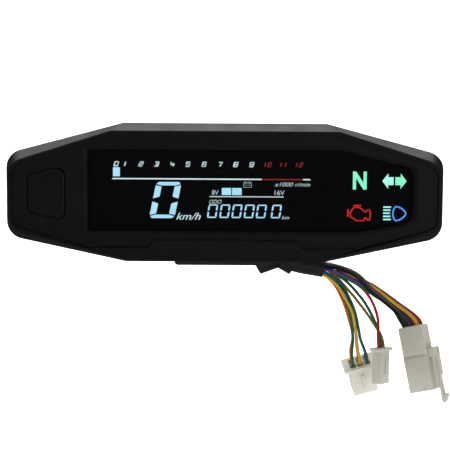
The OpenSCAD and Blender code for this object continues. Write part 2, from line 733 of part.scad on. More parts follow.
// The place in the bundle at a share t of the way, from places at the exit and at three stations
stations = [0.04, 0.28, 0.5, 0.68];
function place_at(places, t) = let (k = t < stations[1] ? 0 : t < stations[2] ? 1 : 2)
    blend(places[k], places[k + 1], ease((t - stations[k]) / (stations[k + 1] - stations[k])));
// A guide route moved by the lead's place in the bundle, [outwards, back], then drawn to its terminal
function lead_route(guide, places, terminal) = let (last = len(guide) - 1)
    [for (i = [0:last]) let (
        t = i / last,
        outwards = unit(cross(tangent(guide, i), [0, 1, 0])),
        place = place_at(places, t),
        share = ease((t - 0.68) / 0.25))
        guide[i] + (1 - share) * (outwards * place[0] + [0, place[1], 0]) + share * terminal];

// A place in the round bundle where the leads leave the sleeve: rows up and steps back
function exit_place(rows_up, steps_back) = [rows_up * row_step, steps_back * lead_step];

module lead(colour, guide, places, terminal) {
    color(colour) tube(lead_route(guide, places, terminal), lead_d / 2, lead_d / 2, 8);
}

function terminal_a(i) = hung(grid(3, 2)[i], plug_a_turn);
function terminal_b(i) = hung(grid(3, 1)[i], plug_b_turn);
function terminal_c(i) = hung(grid(3, 3)[i], socket_c_turn);

module lead_a1_orange() {
    lead([0.72, 0.3, 0.12], route_a, [exit_place(-2, 0), [-2.6, 0.1], [-2.6, 0.3], [-1.8, 0.9]],
        terminal_a(3));
}

module lead_a2_green() {
    lead([0.02, 0.3, 0.22], route_a, [exit_place(-1, -0.5), [-1, -0.7], [-1, -0.3], [-1.8, -1]],
        terminal_a(0));
}

module lead_a3_yellow() {
    lead([0.85, 0.65, 0.1], route_a, [exit_place(-2, -1), [-1.2, -2.4], [0.2, -1.8], [0, -1]],
        terminal_a(1));
}

module lead_a4_red() {
    lead([0.6, 0.1, 0.08], route_a, [exit_place(-2, 1), [-1, 1.2], [-0.8, 1.5], [0, 0.9]],
        terminal_a(4));
}

module lead_a5_teal() {
    lead([0.03, 0.33, 0.26], route_a, [exit_place(-1, -1.5), [1, -1.4], [1.7, -0.5], [1.8, -1]],
        terminal_a(2));
}

module lead_a6_blue() {
    lead([0.15, 0.2, 0.55], route_a, [exit_place(-1, 0.5), [0.6, 0.9], [1, 1.4], [1.8, 0.9]],
        terminal_a(5));
}

module lead_b1_red() {
    lead([0.75, 0.08, 0.06], route_b_red, [exit_place(0, 0), [0, 0], [0, -0.3], [0, -0.8]],
        terminal_b(0));
}

module lead_b2_green() {
    lead([0.02, 0.32, 0.22], route_b_green, [exit_place(0, 1), [0, 0], [0, 0], [0, 0]],
        terminal_b(1));
}

module lead_b3_olive() {
    lead([0.6, 0.5, 0.08], route_b_olive, [exit_place(0, 2), [0, 0.6], [0, 1.6], [0, 1.9]],
        terminal_b(2));
}

module lead_c1_black() {
    lead([0.05, 0.05, 0.05], route_c, [exit_place(1, -1.5), [1.7, -3.4], [-1.6, -3.2], [-2.2, -1]],
        terminal_c(0));
}

module lead_c2_grey() {
    lead([0.5, 0.48, 0.48], route_c, [exit_place(2, -1), [3.3, -2.9], [0.1, -3.6], [-0.6, -1.6]],
        terminal_c(1));
}

module lead_c3_green() {
    lead([0.02, 0.3, 0.2], route_c, [exit_place(0, -1), [-2, -1.4], [-2.3, -0.8], [-1.6, 0.6]],
        terminal_c(3));
}

module lead_c4_brown() {
    lead([0.3, 0.15, 0.08], route_c, [exit_place(2, 1), [0.9, 1.6], [2, 1.35], [2.2, 1]],
        terminal_c(8));
}

module lead_c5_purple() {
    lead([0.3, 0.12, 0.45], route_c, [exit_place(0, -2), [-0.7, -2.4], [-0.5, -1], [0, 0]],
        terminal_c(4));
}

module lead_c6_yellow() {
    lead([0.9, 0.7, 0.1], route_c, [exit_place(1, -0.5), [0.9, -1.7], [1.2, -1.9], [1.15, -2.2]],
        terminal_c(2));
}

module lead_c7_blue() {
    lead([0.1, 0.15, 0.6], route_c, [exit_place(1, 1.5), [-0.9, 1.7], [-1.5, 0.9], [-1, 2.2]],
        terminal_c(6));
}

module lead_c8_orange() {
    lead([0.85, 0.4, 0.08], route_c, [exit_place(1, 0.5), [0, 0], [0.3, 0.8], [0.6, 1.6]],
        terminal_c(7));
}

module lead_c9_red() {
    lead([0.8, 0.1, 0.12], route_c, [exit_place(2, 0), [1.75, -0.1], [1.7, -0.3], [1.6, -0.6]],
        terminal_c(5));
}

front_cover();
smoked_lens();
lens_gasket();
rear_housing();
housing_seal();
housing_screws();
vent_plug();
mount_inserts();
display_frame();
lcd_glass();
lcd_polarizers();
lcd_pins();
light_guide();
backlight_reflector();
backlight_leds();
telltale_film();
telltale_lightbox();
telltale_leds();
circuit_board();
board_screws();
microcontroller();
lcd_driver();
voltage_regulator();
capacitors();
small_components();
harness_header();
inner_leads();
mode_button();
button_seal();
switch_base();
switch_plunger();
harness_grommet();
harness_clip();
clip_screw();
harness_sleeve();
plug_a();
plug_b();
socket_c();
socket_c_latch();
plug_a_terminals();
plug_b_terminals();
socket_c_terminals();
lead_a1_orange();
lead_a2_green();
lead_a3_yellow();
lead_a4_red();
lead_a5_teal();
lead_a6_blue();
lead_b1_red();
lead_b2_green();
lead_b3_olive();
lead_c1_black();
lead_c2_grey();
lead_c3_green();
lead_c4_brown();
lead_c5_purple();
lead_c6_yellow();
lead_c7_blue();
lead_c8_orange();
lead_c9_red();
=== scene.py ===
import json
import math

import bmesh
import bpy
from mathutils import Matrix, Vector

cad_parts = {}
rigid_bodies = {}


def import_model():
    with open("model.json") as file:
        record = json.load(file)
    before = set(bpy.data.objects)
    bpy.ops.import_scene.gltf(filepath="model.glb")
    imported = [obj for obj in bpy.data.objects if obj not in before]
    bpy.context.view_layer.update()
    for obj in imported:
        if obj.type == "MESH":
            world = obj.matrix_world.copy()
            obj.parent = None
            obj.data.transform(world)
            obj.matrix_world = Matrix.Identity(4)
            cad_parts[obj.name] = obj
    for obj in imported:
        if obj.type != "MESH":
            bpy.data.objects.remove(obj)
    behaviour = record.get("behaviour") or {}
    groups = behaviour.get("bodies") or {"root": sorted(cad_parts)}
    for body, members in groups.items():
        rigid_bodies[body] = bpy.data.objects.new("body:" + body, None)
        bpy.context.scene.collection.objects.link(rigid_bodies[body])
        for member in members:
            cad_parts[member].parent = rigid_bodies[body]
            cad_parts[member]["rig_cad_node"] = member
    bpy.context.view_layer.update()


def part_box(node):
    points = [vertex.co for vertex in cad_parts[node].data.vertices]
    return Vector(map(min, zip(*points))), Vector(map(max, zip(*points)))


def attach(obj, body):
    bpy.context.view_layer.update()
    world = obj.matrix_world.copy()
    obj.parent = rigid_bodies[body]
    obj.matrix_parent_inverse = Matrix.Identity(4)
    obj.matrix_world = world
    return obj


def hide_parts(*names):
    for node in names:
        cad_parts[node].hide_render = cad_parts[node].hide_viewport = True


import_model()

bl_info = {
    "name": "Motorcycle instrument cluster",
    "version": (1, 0, 0),
    "blender": (4, 5, 0),
    "location": "3D View > Sidebar > Cluster",
    "description": "Builds a wide liquid-crystal motorcycle cluster with its button and its harness",
    "category": "Object",
}

MM = 0.001
WHOLE_DEPTH = 34.0
CORNER_STEPS = 8
CLUSTER = "cluster"
COVER_LOW, COVER_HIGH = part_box("front_cover")

# Depths behind the rim face, in millimetres
COVER_DEPTH = 9.0
PANEL_DEPTH = 1.2
PANEL_BACK = 3.2
GASKET_BACK = 3.7
LENS_BACK = 5.7
SEGMENT_DEPTH = 6.9
LIT_THICKNESS = 0.1

# What the camera takes in, in millimetres
COVER_LENGTH = 234.2
HALF_PICTURE = 120.0


# ---- Outlines, clockwise from the upper left corner, as (x, z) in millimetres ----
def octagon(half, top, bottom, top_half, bottom_half, top_slope, bottom_slope):
    """Corners of the eight-sided body outline."""
    shoulder = top - (half - top_half) * top_slope
    hip = -bottom + (half - bottom_half) * bottom_slope
    return [(-top_half, top), (top_half, top), (half, shoulder), (half, hip),
            (bottom_half, -bottom), (-bottom_half, -bottom), (-half, hip), (-half, shoulder)]


REAR_EDGE = octagon(117.1, 35.8, 39.2, 54.4, 53.0, 0.268, 0.215)
FRONT_EDGE = octagon(115.6, 32.6, 37.7, 61.0, 50.5, 0.32, 0.25)
PANEL_EDGE = octagon(113.7, 29.8, 30.6, 60.0, 73.0, 0.315, 0.285)
EDGE_RADII = [4, 4, 10, 10, 4, 4, 10, 10]
PANEL_RADII = [3, 3, 7, 7, 3, 3, 7, 7]
WINDOW_EDGE = [(-73.1, 22.2), (61, 22.2), (100.6, 12.8), (100.6, -16.5), (71, -21.6), (-73.1, -21.6)]
WINDOW_RADII = [1.6, 5, 5.5, 6, 6, 1.6]
BUTTON_EDGE = [(-105, 8), (-85.5, 13.2), (-85.5, -15.9), (-105, -11.4)]
BUTTON_RADII = [2.5, 4.5, 3.2, 2.5]
CHIN = [(-38, -26.6), (38, -26.6), (41.5, -31.4), (-41.5, -31.4)]


def inset(corners, by):
    """Corners moved inwards by a distance, or outwards by a negative one."""
    moved = []
    for k, corner in enumerate(corners):
        here = Vector(corner)
        a = (Vector(corners[k - 1]) - here).normalized()
        c = (Vector(corners[(k + 1) % len(corners)]) - here).normalized()
        moved.append(here + (a + c).normalized() * by / math.sin(a.angle(c) / 2))
    return moved


def rounded(corners, radii):
    """The outline's points, with an arc at each corner."""
    points = []
    for k, corner in enumerate(corners):
        here = Vector(corner)
        a = (Vector(corners[k - 1]) - here).normalized()
        c = (Vector(corners[(k + 1) % len(corners)]) - here).normalized()
        half = a.angle(c) / 2
        centre = here + (a + c).normalized() * radii[k] / math.sin(half)
        start = here + a * radii[k] / math.tan(half) - centre
        sweep = math.pi - 2 * half
        turned = -1 if a.x * c.y - a.y * c.x > 0 else 1
        for step in range(CORNER_STEPS + 1):
            angle = turned * sweep * step / CORNER_STEPS
            points.append(centre + Matrix.Rotation(angle, 2) @ start)
    return points


def box_outline(x0, x1, z0, z1):
    """A rectangle's corners."""
    return [(x0, z1), (x1, z1), (x1, z0), (x0, z0)]


# ---- Making pieces ----
def to_depth(mesh, depth):
    """Stands a mesh drawn flat in X and Y upright at a depth behind the rim, in metres."""
    mesh.transform(Matrix.Translation((0, (depth - WHOLE_DEPTH) * MM, 0))
                   @ Matrix.Rotation(math.radians(90), 4, "X") @ Matrix.Scale(MM, 4))


def mesh_of(data):
    """The mesh that a curve or a text makes."""
    holder = bpy.data.objects.new("holder", data)
    bpy.context.scene.collection.objects.link(holder)
    mesh = bpy.data.meshes.new_from_object(holder.evaluated_get(bpy.context.evaluated_depsgraph_get()))
    bpy.data.objects.remove(holder)
    return mesh


def plate(outlines, near, far, bevel=0.0):
    """A flat plate between two depths. The outlines after the first are its holes."""
    curve = bpy.data.curves.new("outline", "CURVE")
    curve.dimensions = "2D"
    curve.fill_mode = "BOTH"
    for outline in outlines:
        spline = curve.splines.new("POLY")
        spline.points.add(len(outline) - 1)
        for point, place in zip(spline.points, outline):
            point.co = (place[0], place[1], 0, 1)
        spline.use_cyclic_u = True
    curve.extrude = (far - near) / 2 - bevel
    curve.bevel_depth = bevel
    curve.bevel_resolution = 2
    curve.offset = -bevel
    mesh = mesh_of(curve)
    to_depth(mesh, (near + far) / 2)
    return mesh


def loft(rings, close_front=False, close_back=False):
    """A skin drawn out from ring to ring, each an outline with its depth."""
    bm = bmesh.new()
    verts = bmesh.ops.create_circle(bm, segments=len(rings[0][0]), radius=1.0)["verts"]
    loops = []
    for outline, depth in rings:
        if loops:
            order = {v.co.to_tuple(8): k for k, v in enumerate(verts)}
            drawn = bmesh.ops.extrude_edge_only(bm, edges=loops[-1])["geom"]
            verts = sorted((v for v in drawn if isinstance(v, bmesh.types.BMVert)),
                           key=lambda v: order[v.co.to_tuple(8)])
        for v, p in zip(verts, outline):
            v.co = (p[0] * MM, (depth - WHOLE_DEPTH) * MM, p[1] * MM)
        ring = set(verts)
        loops.append([e for e in bm.edges if ring.issuperset(e.verts)])
    for loop in [loops[0]] * close_front + [loops[-1]] * close_back:
        bmesh.ops.contextual_create(bm, geom=loop)
    bmesh.ops.recalc_face_normals(bm, faces=bm.faces[:])
    mesh = bpy.data.meshes.new("loft")
    bm.to_mesh(mesh)
    bm.free()
    return mesh


def block(low, high, bevel=0.0, segments=2):
    """A box between two corners, with its edges rounded."""
    low, high = Vector(low), Vector(high)
    bm = bmesh.new()
    bmesh.ops.create_cube(bm, size=1.0)
    bmesh.ops.scale(bm, vec=high - low, verts=bm.verts[:])
    bmesh.ops.translate(bm, vec=(low + high) / 2, verts=bm.verts[:])
    if bevel:
        bmesh.ops.bevel(bm, geom=bm.edges[:], offset=bevel, segments=segments, affect="EDGES",
                        profile=0.5, material=-1)
    mesh = bpy.data.meshes.new("block")
    bm.to_mesh(mesh)
    bm.free()
    return mesh


def rod(radius, start, end, sides=32, bevel=0.0, end_radius=None):
    """A round bar from one point to another."""
    start, end = Vector(start), Vector(end)
    along = end - start
    bm = bmesh.new()
    bmesh.ops.create_cone(bm, cap_ends=True, segments=sides, radius1=radius,
                          radius2=radius if end_radius is None else end_radius, depth=along.length)
    if bevel:
        rims = [e for e in bm.edges if abs(e.verts[0].co.z - e.verts[1].co.z) < 1e-9]
        bmesh.ops.bevel(bm, geom=rims, offset=bevel, segments=2, affect="EDGES", profile=0.5, material=-1)
    turned = along.to_track_quat("Z", "Y").to_matrix().to_4x4()
    bm.transform(Matrix.Translation((start + end) / 2) @ turned)
    mesh = bpy.data.meshes.new("rod")
    bm.to_mesh(mesh)
    bm.free()
    return mesh


def piece(name, meshes, material, body=CLUSTER, smooth=35.0):
    """One named piece made of meshes that are already in place."""
    bm = bmesh.new()
    for mesh in meshes:
        bm.from_mesh(mesh)
        bpy.data.meshes.remove(mesh)
    mesh = bpy.data.meshes.new(name)
    bm.to_mesh(mesh)
    bm.free()
    mesh.materials.clear()
    mesh.materials.append(material)
    for polygon in mesh.polygons:
        polygon.use_smooth = True
        polygon.material_index = 0
    mesh.set_sharp_from_angle(angle=math.radians(smooth))
    made = bpy.data.objects.new(name, mesh)
    bpy.context.scene.collection.objects.link(made)
    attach(made, body)
    return made


def cad(node):
    """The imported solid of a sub-part."""
    return next(o for o in bpy.data.objects if o.get("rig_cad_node") == node)


def finish_cad(material, *nodes):
    """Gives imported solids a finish."""
    for node in nodes:
        solid = cad(node)
        solid.data.materials.clear()
        solid.data.materials.append(material)


def sizes():
    """The sizes that a user would change."""
    return bpy.context.scene.cluster_sizes


def colours():
    """The colours that a user would change."""
    return bpy.context.scene.cluster_colours


# ---- Finishes ----
def shader(name):
    """A new material with its shader node and a maker of further nodes."""
    material = bpy.data.materials.new(name)
    material.use_nodes = True
    tree = material.node_tree
    principled = tree.nodes["Principled BSDF"]

    def node(kind, **settings):
        made = tree.nodes.new(kind)
        for key, value in settings.items():
            if key in made.inputs:
                made.inputs[key].default_value = value
            else:
                setattr(made, key, value)
        return made

    return material, tree, principled, node


def shaded(colour, by):
    """A colour made lighter or darker."""
    return tuple(min(1.0, c * by) for c in colour[:3]) + (1.0,)


def moulded(name, colour, roughness, grain=2600.0, relief=0.00004, strength=0.35, mottle=0.14,
            wear=0.08, scatter=0.0, shine=0.5, stretch=(1, 1, 1)):
    """A moulded or drawn surface: a fine grain, uneven gloss and a faint mottle of colour."""
    material, tree, principled, node = shader(name)
    place = node("ShaderNodeTexCoord")
    turned = node("ShaderNodeMapping")
    turned.inputs["Scale"].default_value = stretch
    tree.links.new(place.outputs["Object"], turned.inputs["Vector"])
    cloud = node("ShaderNodeTexNoise", Scale=90.0, Detail=5.0, Roughness=0.6)
    fine = node("ShaderNodeTexNoise", Scale=grain, Detail=3.0, Roughness=0.55)
    for texture in (cloud, fine):
        tree.links.new(turned.outputs["Vector"], texture.inputs["Vector"])
    ramp = node("ShaderNodeValToRGB")
    ramp.color_ramp.elements[0].position = 0.3
    ramp.color_ramp.elements[0].color = shaded(colour, 1 - mottle)
    ramp.color_ramp.elements[1].position = 0.7
    ramp.color_ramp.elements[1].color = shaded(colour, 1 + mottle)
    tree.links.new(cloud.outputs["Fac"], ramp.inputs["Fac"])
    tree.links.new(ramp.outputs["Color"], principled.inputs["Base Color"])
    gloss = node("ShaderNodeMapRange")
    gloss.inputs["From Min"].default_value = 0.3
    gloss.inputs["From Max"].default_value = 0.7
    gloss.inputs["To Min"].default_value = max(0.02, roughness - wear)
    gloss.inputs["To Max"].default_value = min(1.0, roughness + wear)
    tree.links.new(cloud.outputs["Fac"], gloss.inputs["Value"])
    tree.links.new(gloss.outputs["Result"], principled.inputs["Roughness"])
    bump = node("ShaderNodeBump", Strength=strength, Distance=relief)
    tree.links.new(fine.outputs["Fac"], bump.inputs["Height"])
    tree.links.new(bump.outputs["Normal"], principled.inputs["Normal"])
    principled.inputs["Specular IOR Level"].default_value = shine
    if scatter:
        principled.inputs["Subsurface Weight"].default_value = scatter
        principled.inputs["Subsurface Radius"].default_value = (0.004, 0.004, 0.0035)
        principled.inputs["Subsurface Scale"].default_value = 0.5
    return material


def metal(name, colour, roughness):
    """A plated or machined metal with fine scratches."""
    material = moulded(name, colour, roughness, grain=1800.0, relief=0.00002, strength=0.25,
                       mottle=0.1, wear=0.1, stretch=(1, 6, 1))
    material.node_tree.nodes["Principled BSDF"].inputs["Metallic"].default_value = 1.0
    return material


def glowing(name, colour, strength):
    """A lit segment or icon, a little uneven as backlighting is."""
    material, tree, principled, node = shader(name)
    place = node("ShaderNodeTexCoord")
    cloud = node("ShaderNodeTexNoise", Scale=120.0, Detail=2.0)
    tree.links.new(place.outputs["Object"], cloud.inputs["Vector"])
    ramp = node("ShaderNodeValToRGB")
    ramp.color_ramp.elements[0].position = 0.25
    ramp.color_ramp.elements[0].color = shaded(colour, 0.86)
    ramp.color_ramp.elements[1].position = 0.75
    ramp.color_ramp.elements[1].color = shaded(colour, 1.0)
    tree.links.new(cloud.outputs["Fac"], ramp.inputs["Fac"])
    tree.links.new(ramp.outputs["Color"], principled.inputs["Emission Color"])
    principled.inputs["Emission Strength"].default_value = strength
    principled.inputs["Base Color"].default_value = shaded(colour, 0.1)
    principled.inputs["Roughness"].default_value = 0.6
    return material


def smoked(name, colour, alpha):
    """Smoked acrylic: dark, glossy and partly clear."""
    material = moulded(name, colour, 0.07, grain=700.0, relief=0.00001, strength=0.05, mottle=0.1,
                       wear=0.03)
    principled = material.node_tree.nodes["Principled BSDF"]
    principled.inputs["Alpha"].default_value = alpha
    principled.inputs["IOR"].default_value = 1.49
    return material


# ---- Seven-segment digits, strokes and words of the display ----
def segment_outlines(low, high, stroke, rung, slant, gap, lit="abcdef"):
    """Outlines of the lit segments of one digit."""
    (x0, z0), (x1, z1) = low, high
    middle = (z0 + z1) / 2
    cut = rung * 0.6

    def lean(points):
        return [(x + (z - z0) * slant, z) for x, z in points]

    across = [(x0 + gap, z1 - cut), (x0 + cut + gap, z1), (x1 - cut - gap, z1), (x1 - gap, z1 - cut),
              (x1 - stroke + gap, z1 - rung), (x0 + stroke - gap, z1 - rung)]
    upper = [(x0, z1 - cut - 2 * gap), (x0 + stroke, z1 - rung - 2 * gap),
             (x0 + stroke, middle + rung), (x0, middle + rung * 0.45)]
    found = {
        "a": across,
        "f": upper,
        "b": [(x0 + x1 - x, z) for x, z in reversed(upper)],
        "e": [(x, 2 * middle - z) for x, z in reversed(upper)],
        "c": [(x0 + x1 - x, 2 * middle - z) for x, z in upper],
        "d": [(x, 2 * middle - z) for x, z in reversed(across)],
    }
    return [lean(found[k]) for k in lit]


def stroke(points, width, closed=False, depth=SEGMENT_DEPTH):
    """A flat line of even width through points."""
    curve = bpy.data.curves.new("stroke", "CURVE")
    curve.dimensions = "3D"
    curve.bevel_depth = width / 2
    curve.bevel_resolution = 3
    curve.use_fill_caps = True
    spline = curve.splines.new("POLY")
    spline.points.add(len(points) - 1)
    for point, place in zip(spline.points, points):
        point.co = (place[0], place[1], 0, 1)
    spline.use_cyclic_u = closed
    mesh = mesh_of(curve)
    mesh.transform(Matrix.Scale(0.2, 4, (0, 0, 1)))
    to_depth(mesh, depth)
    return mesh


def words(body, x0, x1, z0, z1, slant=0.0, weight=0.0):
    """Plain words set to fill a box."""
    text = bpy.data.curves.new("words", "FONT")
    text.body = body
    text.size = 10
    text.shear = slant
    text.offset = weight
    text.extrude = 0.05
    mesh = mesh_of(text)
    xs = [v.co.x for v in mesh.vertices]
    ys = [v.co.y for v in mesh.vertices]
    wide, tall = (x1 - x0) / (max(xs) - min(xs)), (z1 - z0) / (max(ys) - min(ys))
    mesh.transform(Matrix.Translation((x0, z0, 0)) @ Matrix.Diagonal((wide, tall, 1, 1))
                   @ Matrix.Translation((-min(xs), -min(ys), 0)))
    to_depth(mesh, SEGMENT_DEPTH)
    return mesh


NUMERAL_LINES = {
    "0": [[(0, 0), (0, 4), (2, 4), (2, 0), (0, 0)]],
    "1": [[(1, 0), (1, 4)]],
    "2": [[(0, 4), (2, 4), (2, 2), (0, 2), (0, 0), (2, 0)]],
    "3": [[(0, 4), (2, 4), (2, 0), (0, 0)], [(0.5, 2), (2, 2)]],
    "4": [[(0, 4), (0, 1.6), (2, 1.6)], [(1.6, 2.8), (1.6, 0)]],
    "5": [[(2, 4), (0, 4), (0, 2.2), (2, 2.2), (2, 0), (0, 0)]],
    "6": [[(2, 4), (0, 4), (0, 0), (2, 0), (2, 2.2), (0, 2.2)]],
    "7": [[(0, 4), (2, 4), (1, 0)]],
    "8": [[(0, 0), (0, 4), (2, 4), (2, 0), (0, 0)], [(0, 2), (2, 2)]],
    "9": [[(0, 0), (2, 0), (2, 4), (0, 4), (0, 1.8), (2, 1.8)]],
}


def numeral(value, middle, z0, z1, wide, bold, slant=0.3):
    """A square-cut leaning number, centred on a place."""
    made = []
    digits = str(value)
    step = wide + bold + 0.35
    for k, digit in enumerate(digits):
        left = middle + (k - (len(digits) - 1) / 2) * step - wide / 2
        for line in NUMERAL_LINES[digit]:
            points = [(left + x / 2 * wide, z0 + bold / 2 + z / 4 * (z1 - z0 - bold)) for x, z in line]
            made.append(stroke([(x + (z - (z0 + z1) / 2) * slant, z) for x, z in points], bold))
    return made


def lit(outline):
    """A thin lit shape in the plane of the segments."""
    return plate([outline], SEGMENT_DEPTH - LIT_THICKNESS / 2, SEGMENT_DEPTH + LIT_THICKNESS / 2)


def bar(x0, x1, z0, z1):
    """A lit bar."""
    return lit(box_outline(x0, x1, z0, z1))


# ---- Harness routes, in millimetres ----
def pt(text):
    """Points from rows of three numbers."""
    return [Vector([float(v) for v in row.split()]) for row in text.split(",")]

ROUTE_A = pt(
    "52.9 -15 -44.1, 56 -15 -45.6, 59 -15.2 -48, 61.8 -15.6 -51, 64.2 -16.2 -54.6, "
    "66.2 -16.9 -58.6, 67.9 -17.6 -62.6, 69.3 -18.2 -66.6, 70.4 -18.7 -70.6, 71.2 -19 -74.6, "
    "71.9 -19 -78.6, 72.4 -18.6 -82.4, 72.8 -17.8 -86, 73.3 -16.8 -89.4, 74 -15.6 -92.8, "
    "74.4 -14.2 -96.3")
ROUTE_B_RED = pt(
    "52.9 -15 -44.1, 57 -14.6 -45, 61 -13.6 -46.8, 65 -12 -49, 69 -10.6 -51.4, "
    "72.8 -10.2 -53.8, 76.2 -11 -56.4, 79 -12.6 -59.6, 81.2 -14.4 -63.2, 82.8 -16.2 -67, "
    "83.9 -17.8 -71, 84.6 -19.4 -75, 85 -20.8 -79, 85.3 -22 -82.8, 85.6 -23 -86.4")
ROUTE_B_GREEN = pt(
    "52.9 -15 -44.1, 56.8 -14.4 -45.4, 60.6 -13 -47.4, 64.2 -11.6 -50, 67.6 -10.6 -52.8, "
    "70.8 -10.6 -56, 73.8 -11.6 -59.4, 76.6 -13.2 -62.8, 78.9 -15 -66.4, 80.9 -16.8 -70, "
    "82.5 -18.4 -73.6, 83.8 -20 -77, 84.7 -21.2 -80.2, 85.3 -22.2 -83.4, 85.6 -23 -86.4")
ROUTE_B_OLIVE = pt(
    "52.9 -15 -44.1, 56.4 -14 -45.8, 59.8 -12.4 -48.4, 63 -11.2 -51.4, 66 -10.8 -54.6, "
    "68.8 -11.2 -57.8, 71.6 -12.2 -61, 74.2 -13.6 -64.2, 76.8 -15.2 -67.4, 79.2 -16.8 -70.6, "
    "81.4 -18.4 -73.8, 83.2 -20 -77, 84.5 -21.3 -80.2, 85.2 -22.3 -83.4, 85.6 -23 -86.4")
ROUTE_C = pt(
    "52.9 -15 -44.1, 57 -15 -44.6, 61 -14.8 -45.4, 65 -14.6 -46.8, 69 -14.4 -48.6, "
    "73 -14.2 -50.8, 77 -14 -53.2, 81 -13.6 -55.8, 84.8 -13 -58.5, 88.4 -12.4 -61.2, "
    "91.8 -12 -63.8, 95 -12 -66.4, 97.8 -12.2 -68.8, 100.2 -12.8 -71.2, 102.2 -13.4 -73.6, "
    "103.5 -14 -76.1")
SLEEVE_LINE = [(16, -34.3), (19, -34.3), (22, -34.3), (25, -34.3), (27.8, -34.4), (30, -35.8),
               (31.9, -37.6), (33.4, -39), (35.4, -40.2), (38, -41.2), (41, -42),
               (44, -42.6), (47, -43.1), (50, -43.6), (52.9, -44.1)]
# Name, guide, place where it leaves the sleeve, places at three stations, connector, terminal
LEADS = [
    ("lead_a1_orange", ROUTE_A, (-2, 0), [(-2.6, 0.1), (-2.6, 0.3), (-1.8, 0.9)], "a", 3),
    ("lead_a2_green", ROUTE_A, (-1, -0.5), [(-1, -0.7), (-1, -0.3), (-1.8, -1)], "a", 0),
    ("lead_a3_yellow", ROUTE_A, (-2, -1), [(-1.2, -2.4), (0.2, -1.8), (0, -1)], "a", 1),
    ("lead_a4_red", ROUTE_A, (-2, 1), [(-1, 1.2), (-0.8, 1.5), (0, 0.9)], "a", 4),
    ("lead_a5_teal", ROUTE_A, (-1, -1.5), [(1, -1.4), (1.7, -0.5), (1.8, -1)], "a", 2),
    ("lead_a6_blue", ROUTE_A, (-1, 0.5), [(0.6, 0.9), (1, 1.4), (1.8, 0.9)], "a", 5),
    ("lead_b1_red", ROUTE_B_RED, (0, 0), [(0, 0), (0, -0.3), (0, -0.8)], "b", 0),
    ("lead_b2_green", ROUTE_B_GREEN, (0, 1), [(0, 0), (0, 0), (0, 0)], "b", 1),
    ("lead_b3_olive", ROUTE_B_OLIVE, (0, 2), [(0, 0.6), (0, 1.6), (0, 1.9)], "b", 2),
    ("lead_c1_black", ROUTE_C, (1, -1.5), [(1.7, -3.4), (-1.6, -3.2), (-2.2, -1)], "c", 0),
    ("lead_c2_grey", ROUTE_C, (2, -1), [(3.3, -2.9), (0.1, -3.6), (-0.6, -1.6)], "c", 1),
    ("lead_c3_green", ROUTE_C, (0, -1), [(-2, -1.4), (-2.3, -0.8), (-1.6, 0.6)], "c", 3),
    ("lead_c4_brown", ROUTE_C, (2, 1), [(0.9, 1.6), (2, 1.35), (2.2, 1)], "c", 8),
    ("lead_c5_purple", ROUTE_C, (0, -2), [(-0.7, -2.4), (-0.5, -1), (0, 0)], "c", 4),
    ("lead_c6_yellow", ROUTE_C, (1, -0.5), [(0.9, -1.7), (1.2, -1.9), (1.15, -2.2)], "c", 2),
    ("lead_c7_blue", ROUTE_C, (1, 1.5), [(-0.9, 1.7), (-1.5, 0.9), (-1, 2.2)], "c", 6),
    ("lead_c8_orange", ROUTE_C, (1, 0.5), [(0, 0), (0.3, 0.8), (0.6, 1.6)], "c", 7),
    ("lead_c9_red", ROUTE_C, (2, 0), [(1.75, -0.1), (1.7, -0.3), (1.6, -0.6)], "c", 5),
]
SLEEVE_Y = -15.0
SLEEVE_RADIUS = 4.8
LEAD_STEP = 1.62
ROW_STEP = LEAD_STEP * 0.87
STATIONS = [0.04, 0.28, 0.5, 0.68]
# The stretch over which a lead moves out of the bundle to its own terminal, and how deep it goes in
MERGE_STRETCH = 0.25
TERMINAL_DEPTH = 3.0
TERMINAL_PITCH = 4.0
PLUG_LENGTH = 19.6
PLUG_FLANGE = 1.8
SOCKET_LENGTH = 36.0
SOCKET_SHOULDER = 17.4
# The latch's pivot, out from the socket's middle and down from its top
LATCH_OUT = 9.7
LATCH_DOWN = -15.0
# Top of each connector and its turns about X, Y and Z, in millimetres and degrees
CONNECTORS = {
    "a": ((74.4, -14.2, -96.3), (27.5, -13, 4), 3, 2, "plug_a"),
    "b": ((85.6, -23, -86.4), (-8, 1, 66), 3, 1, "plug_b"),
    "c": ((103.5, -14, -76.1), (-12, -11, -20), 3, 3, "socket_c"),
}


def hung(letter):
    """The place and turn of a hanging connector, drawn in millimetres from its top face."""
    top, turn = CONNECTORS[letter][:2]
    about_x, about_y, about_z = (math.radians(angle) for angle in turn)
    return (Matrix.Translation(top) @ Matrix.Rotation(about_y, 4, "Y")
            @ Matrix.Rotation(about_x, 4, "X") @ Matrix.Rotation(about_z, 4, "Z"))


def terminal_places(columns, rows):
    """The places of the terminals across a connector."""
    return [((i - (columns - 1) / 2) * TERMINAL_PITCH, (j - (rows - 1) / 2) * TERMINAL_PITCH)
            for j in range(rows) for i in range(columns)]


def ease(t):
    """A smooth step from nought to one."""
    t = min(1.0, max(0.0, t))
    return t * t * (3 - 2 * t)


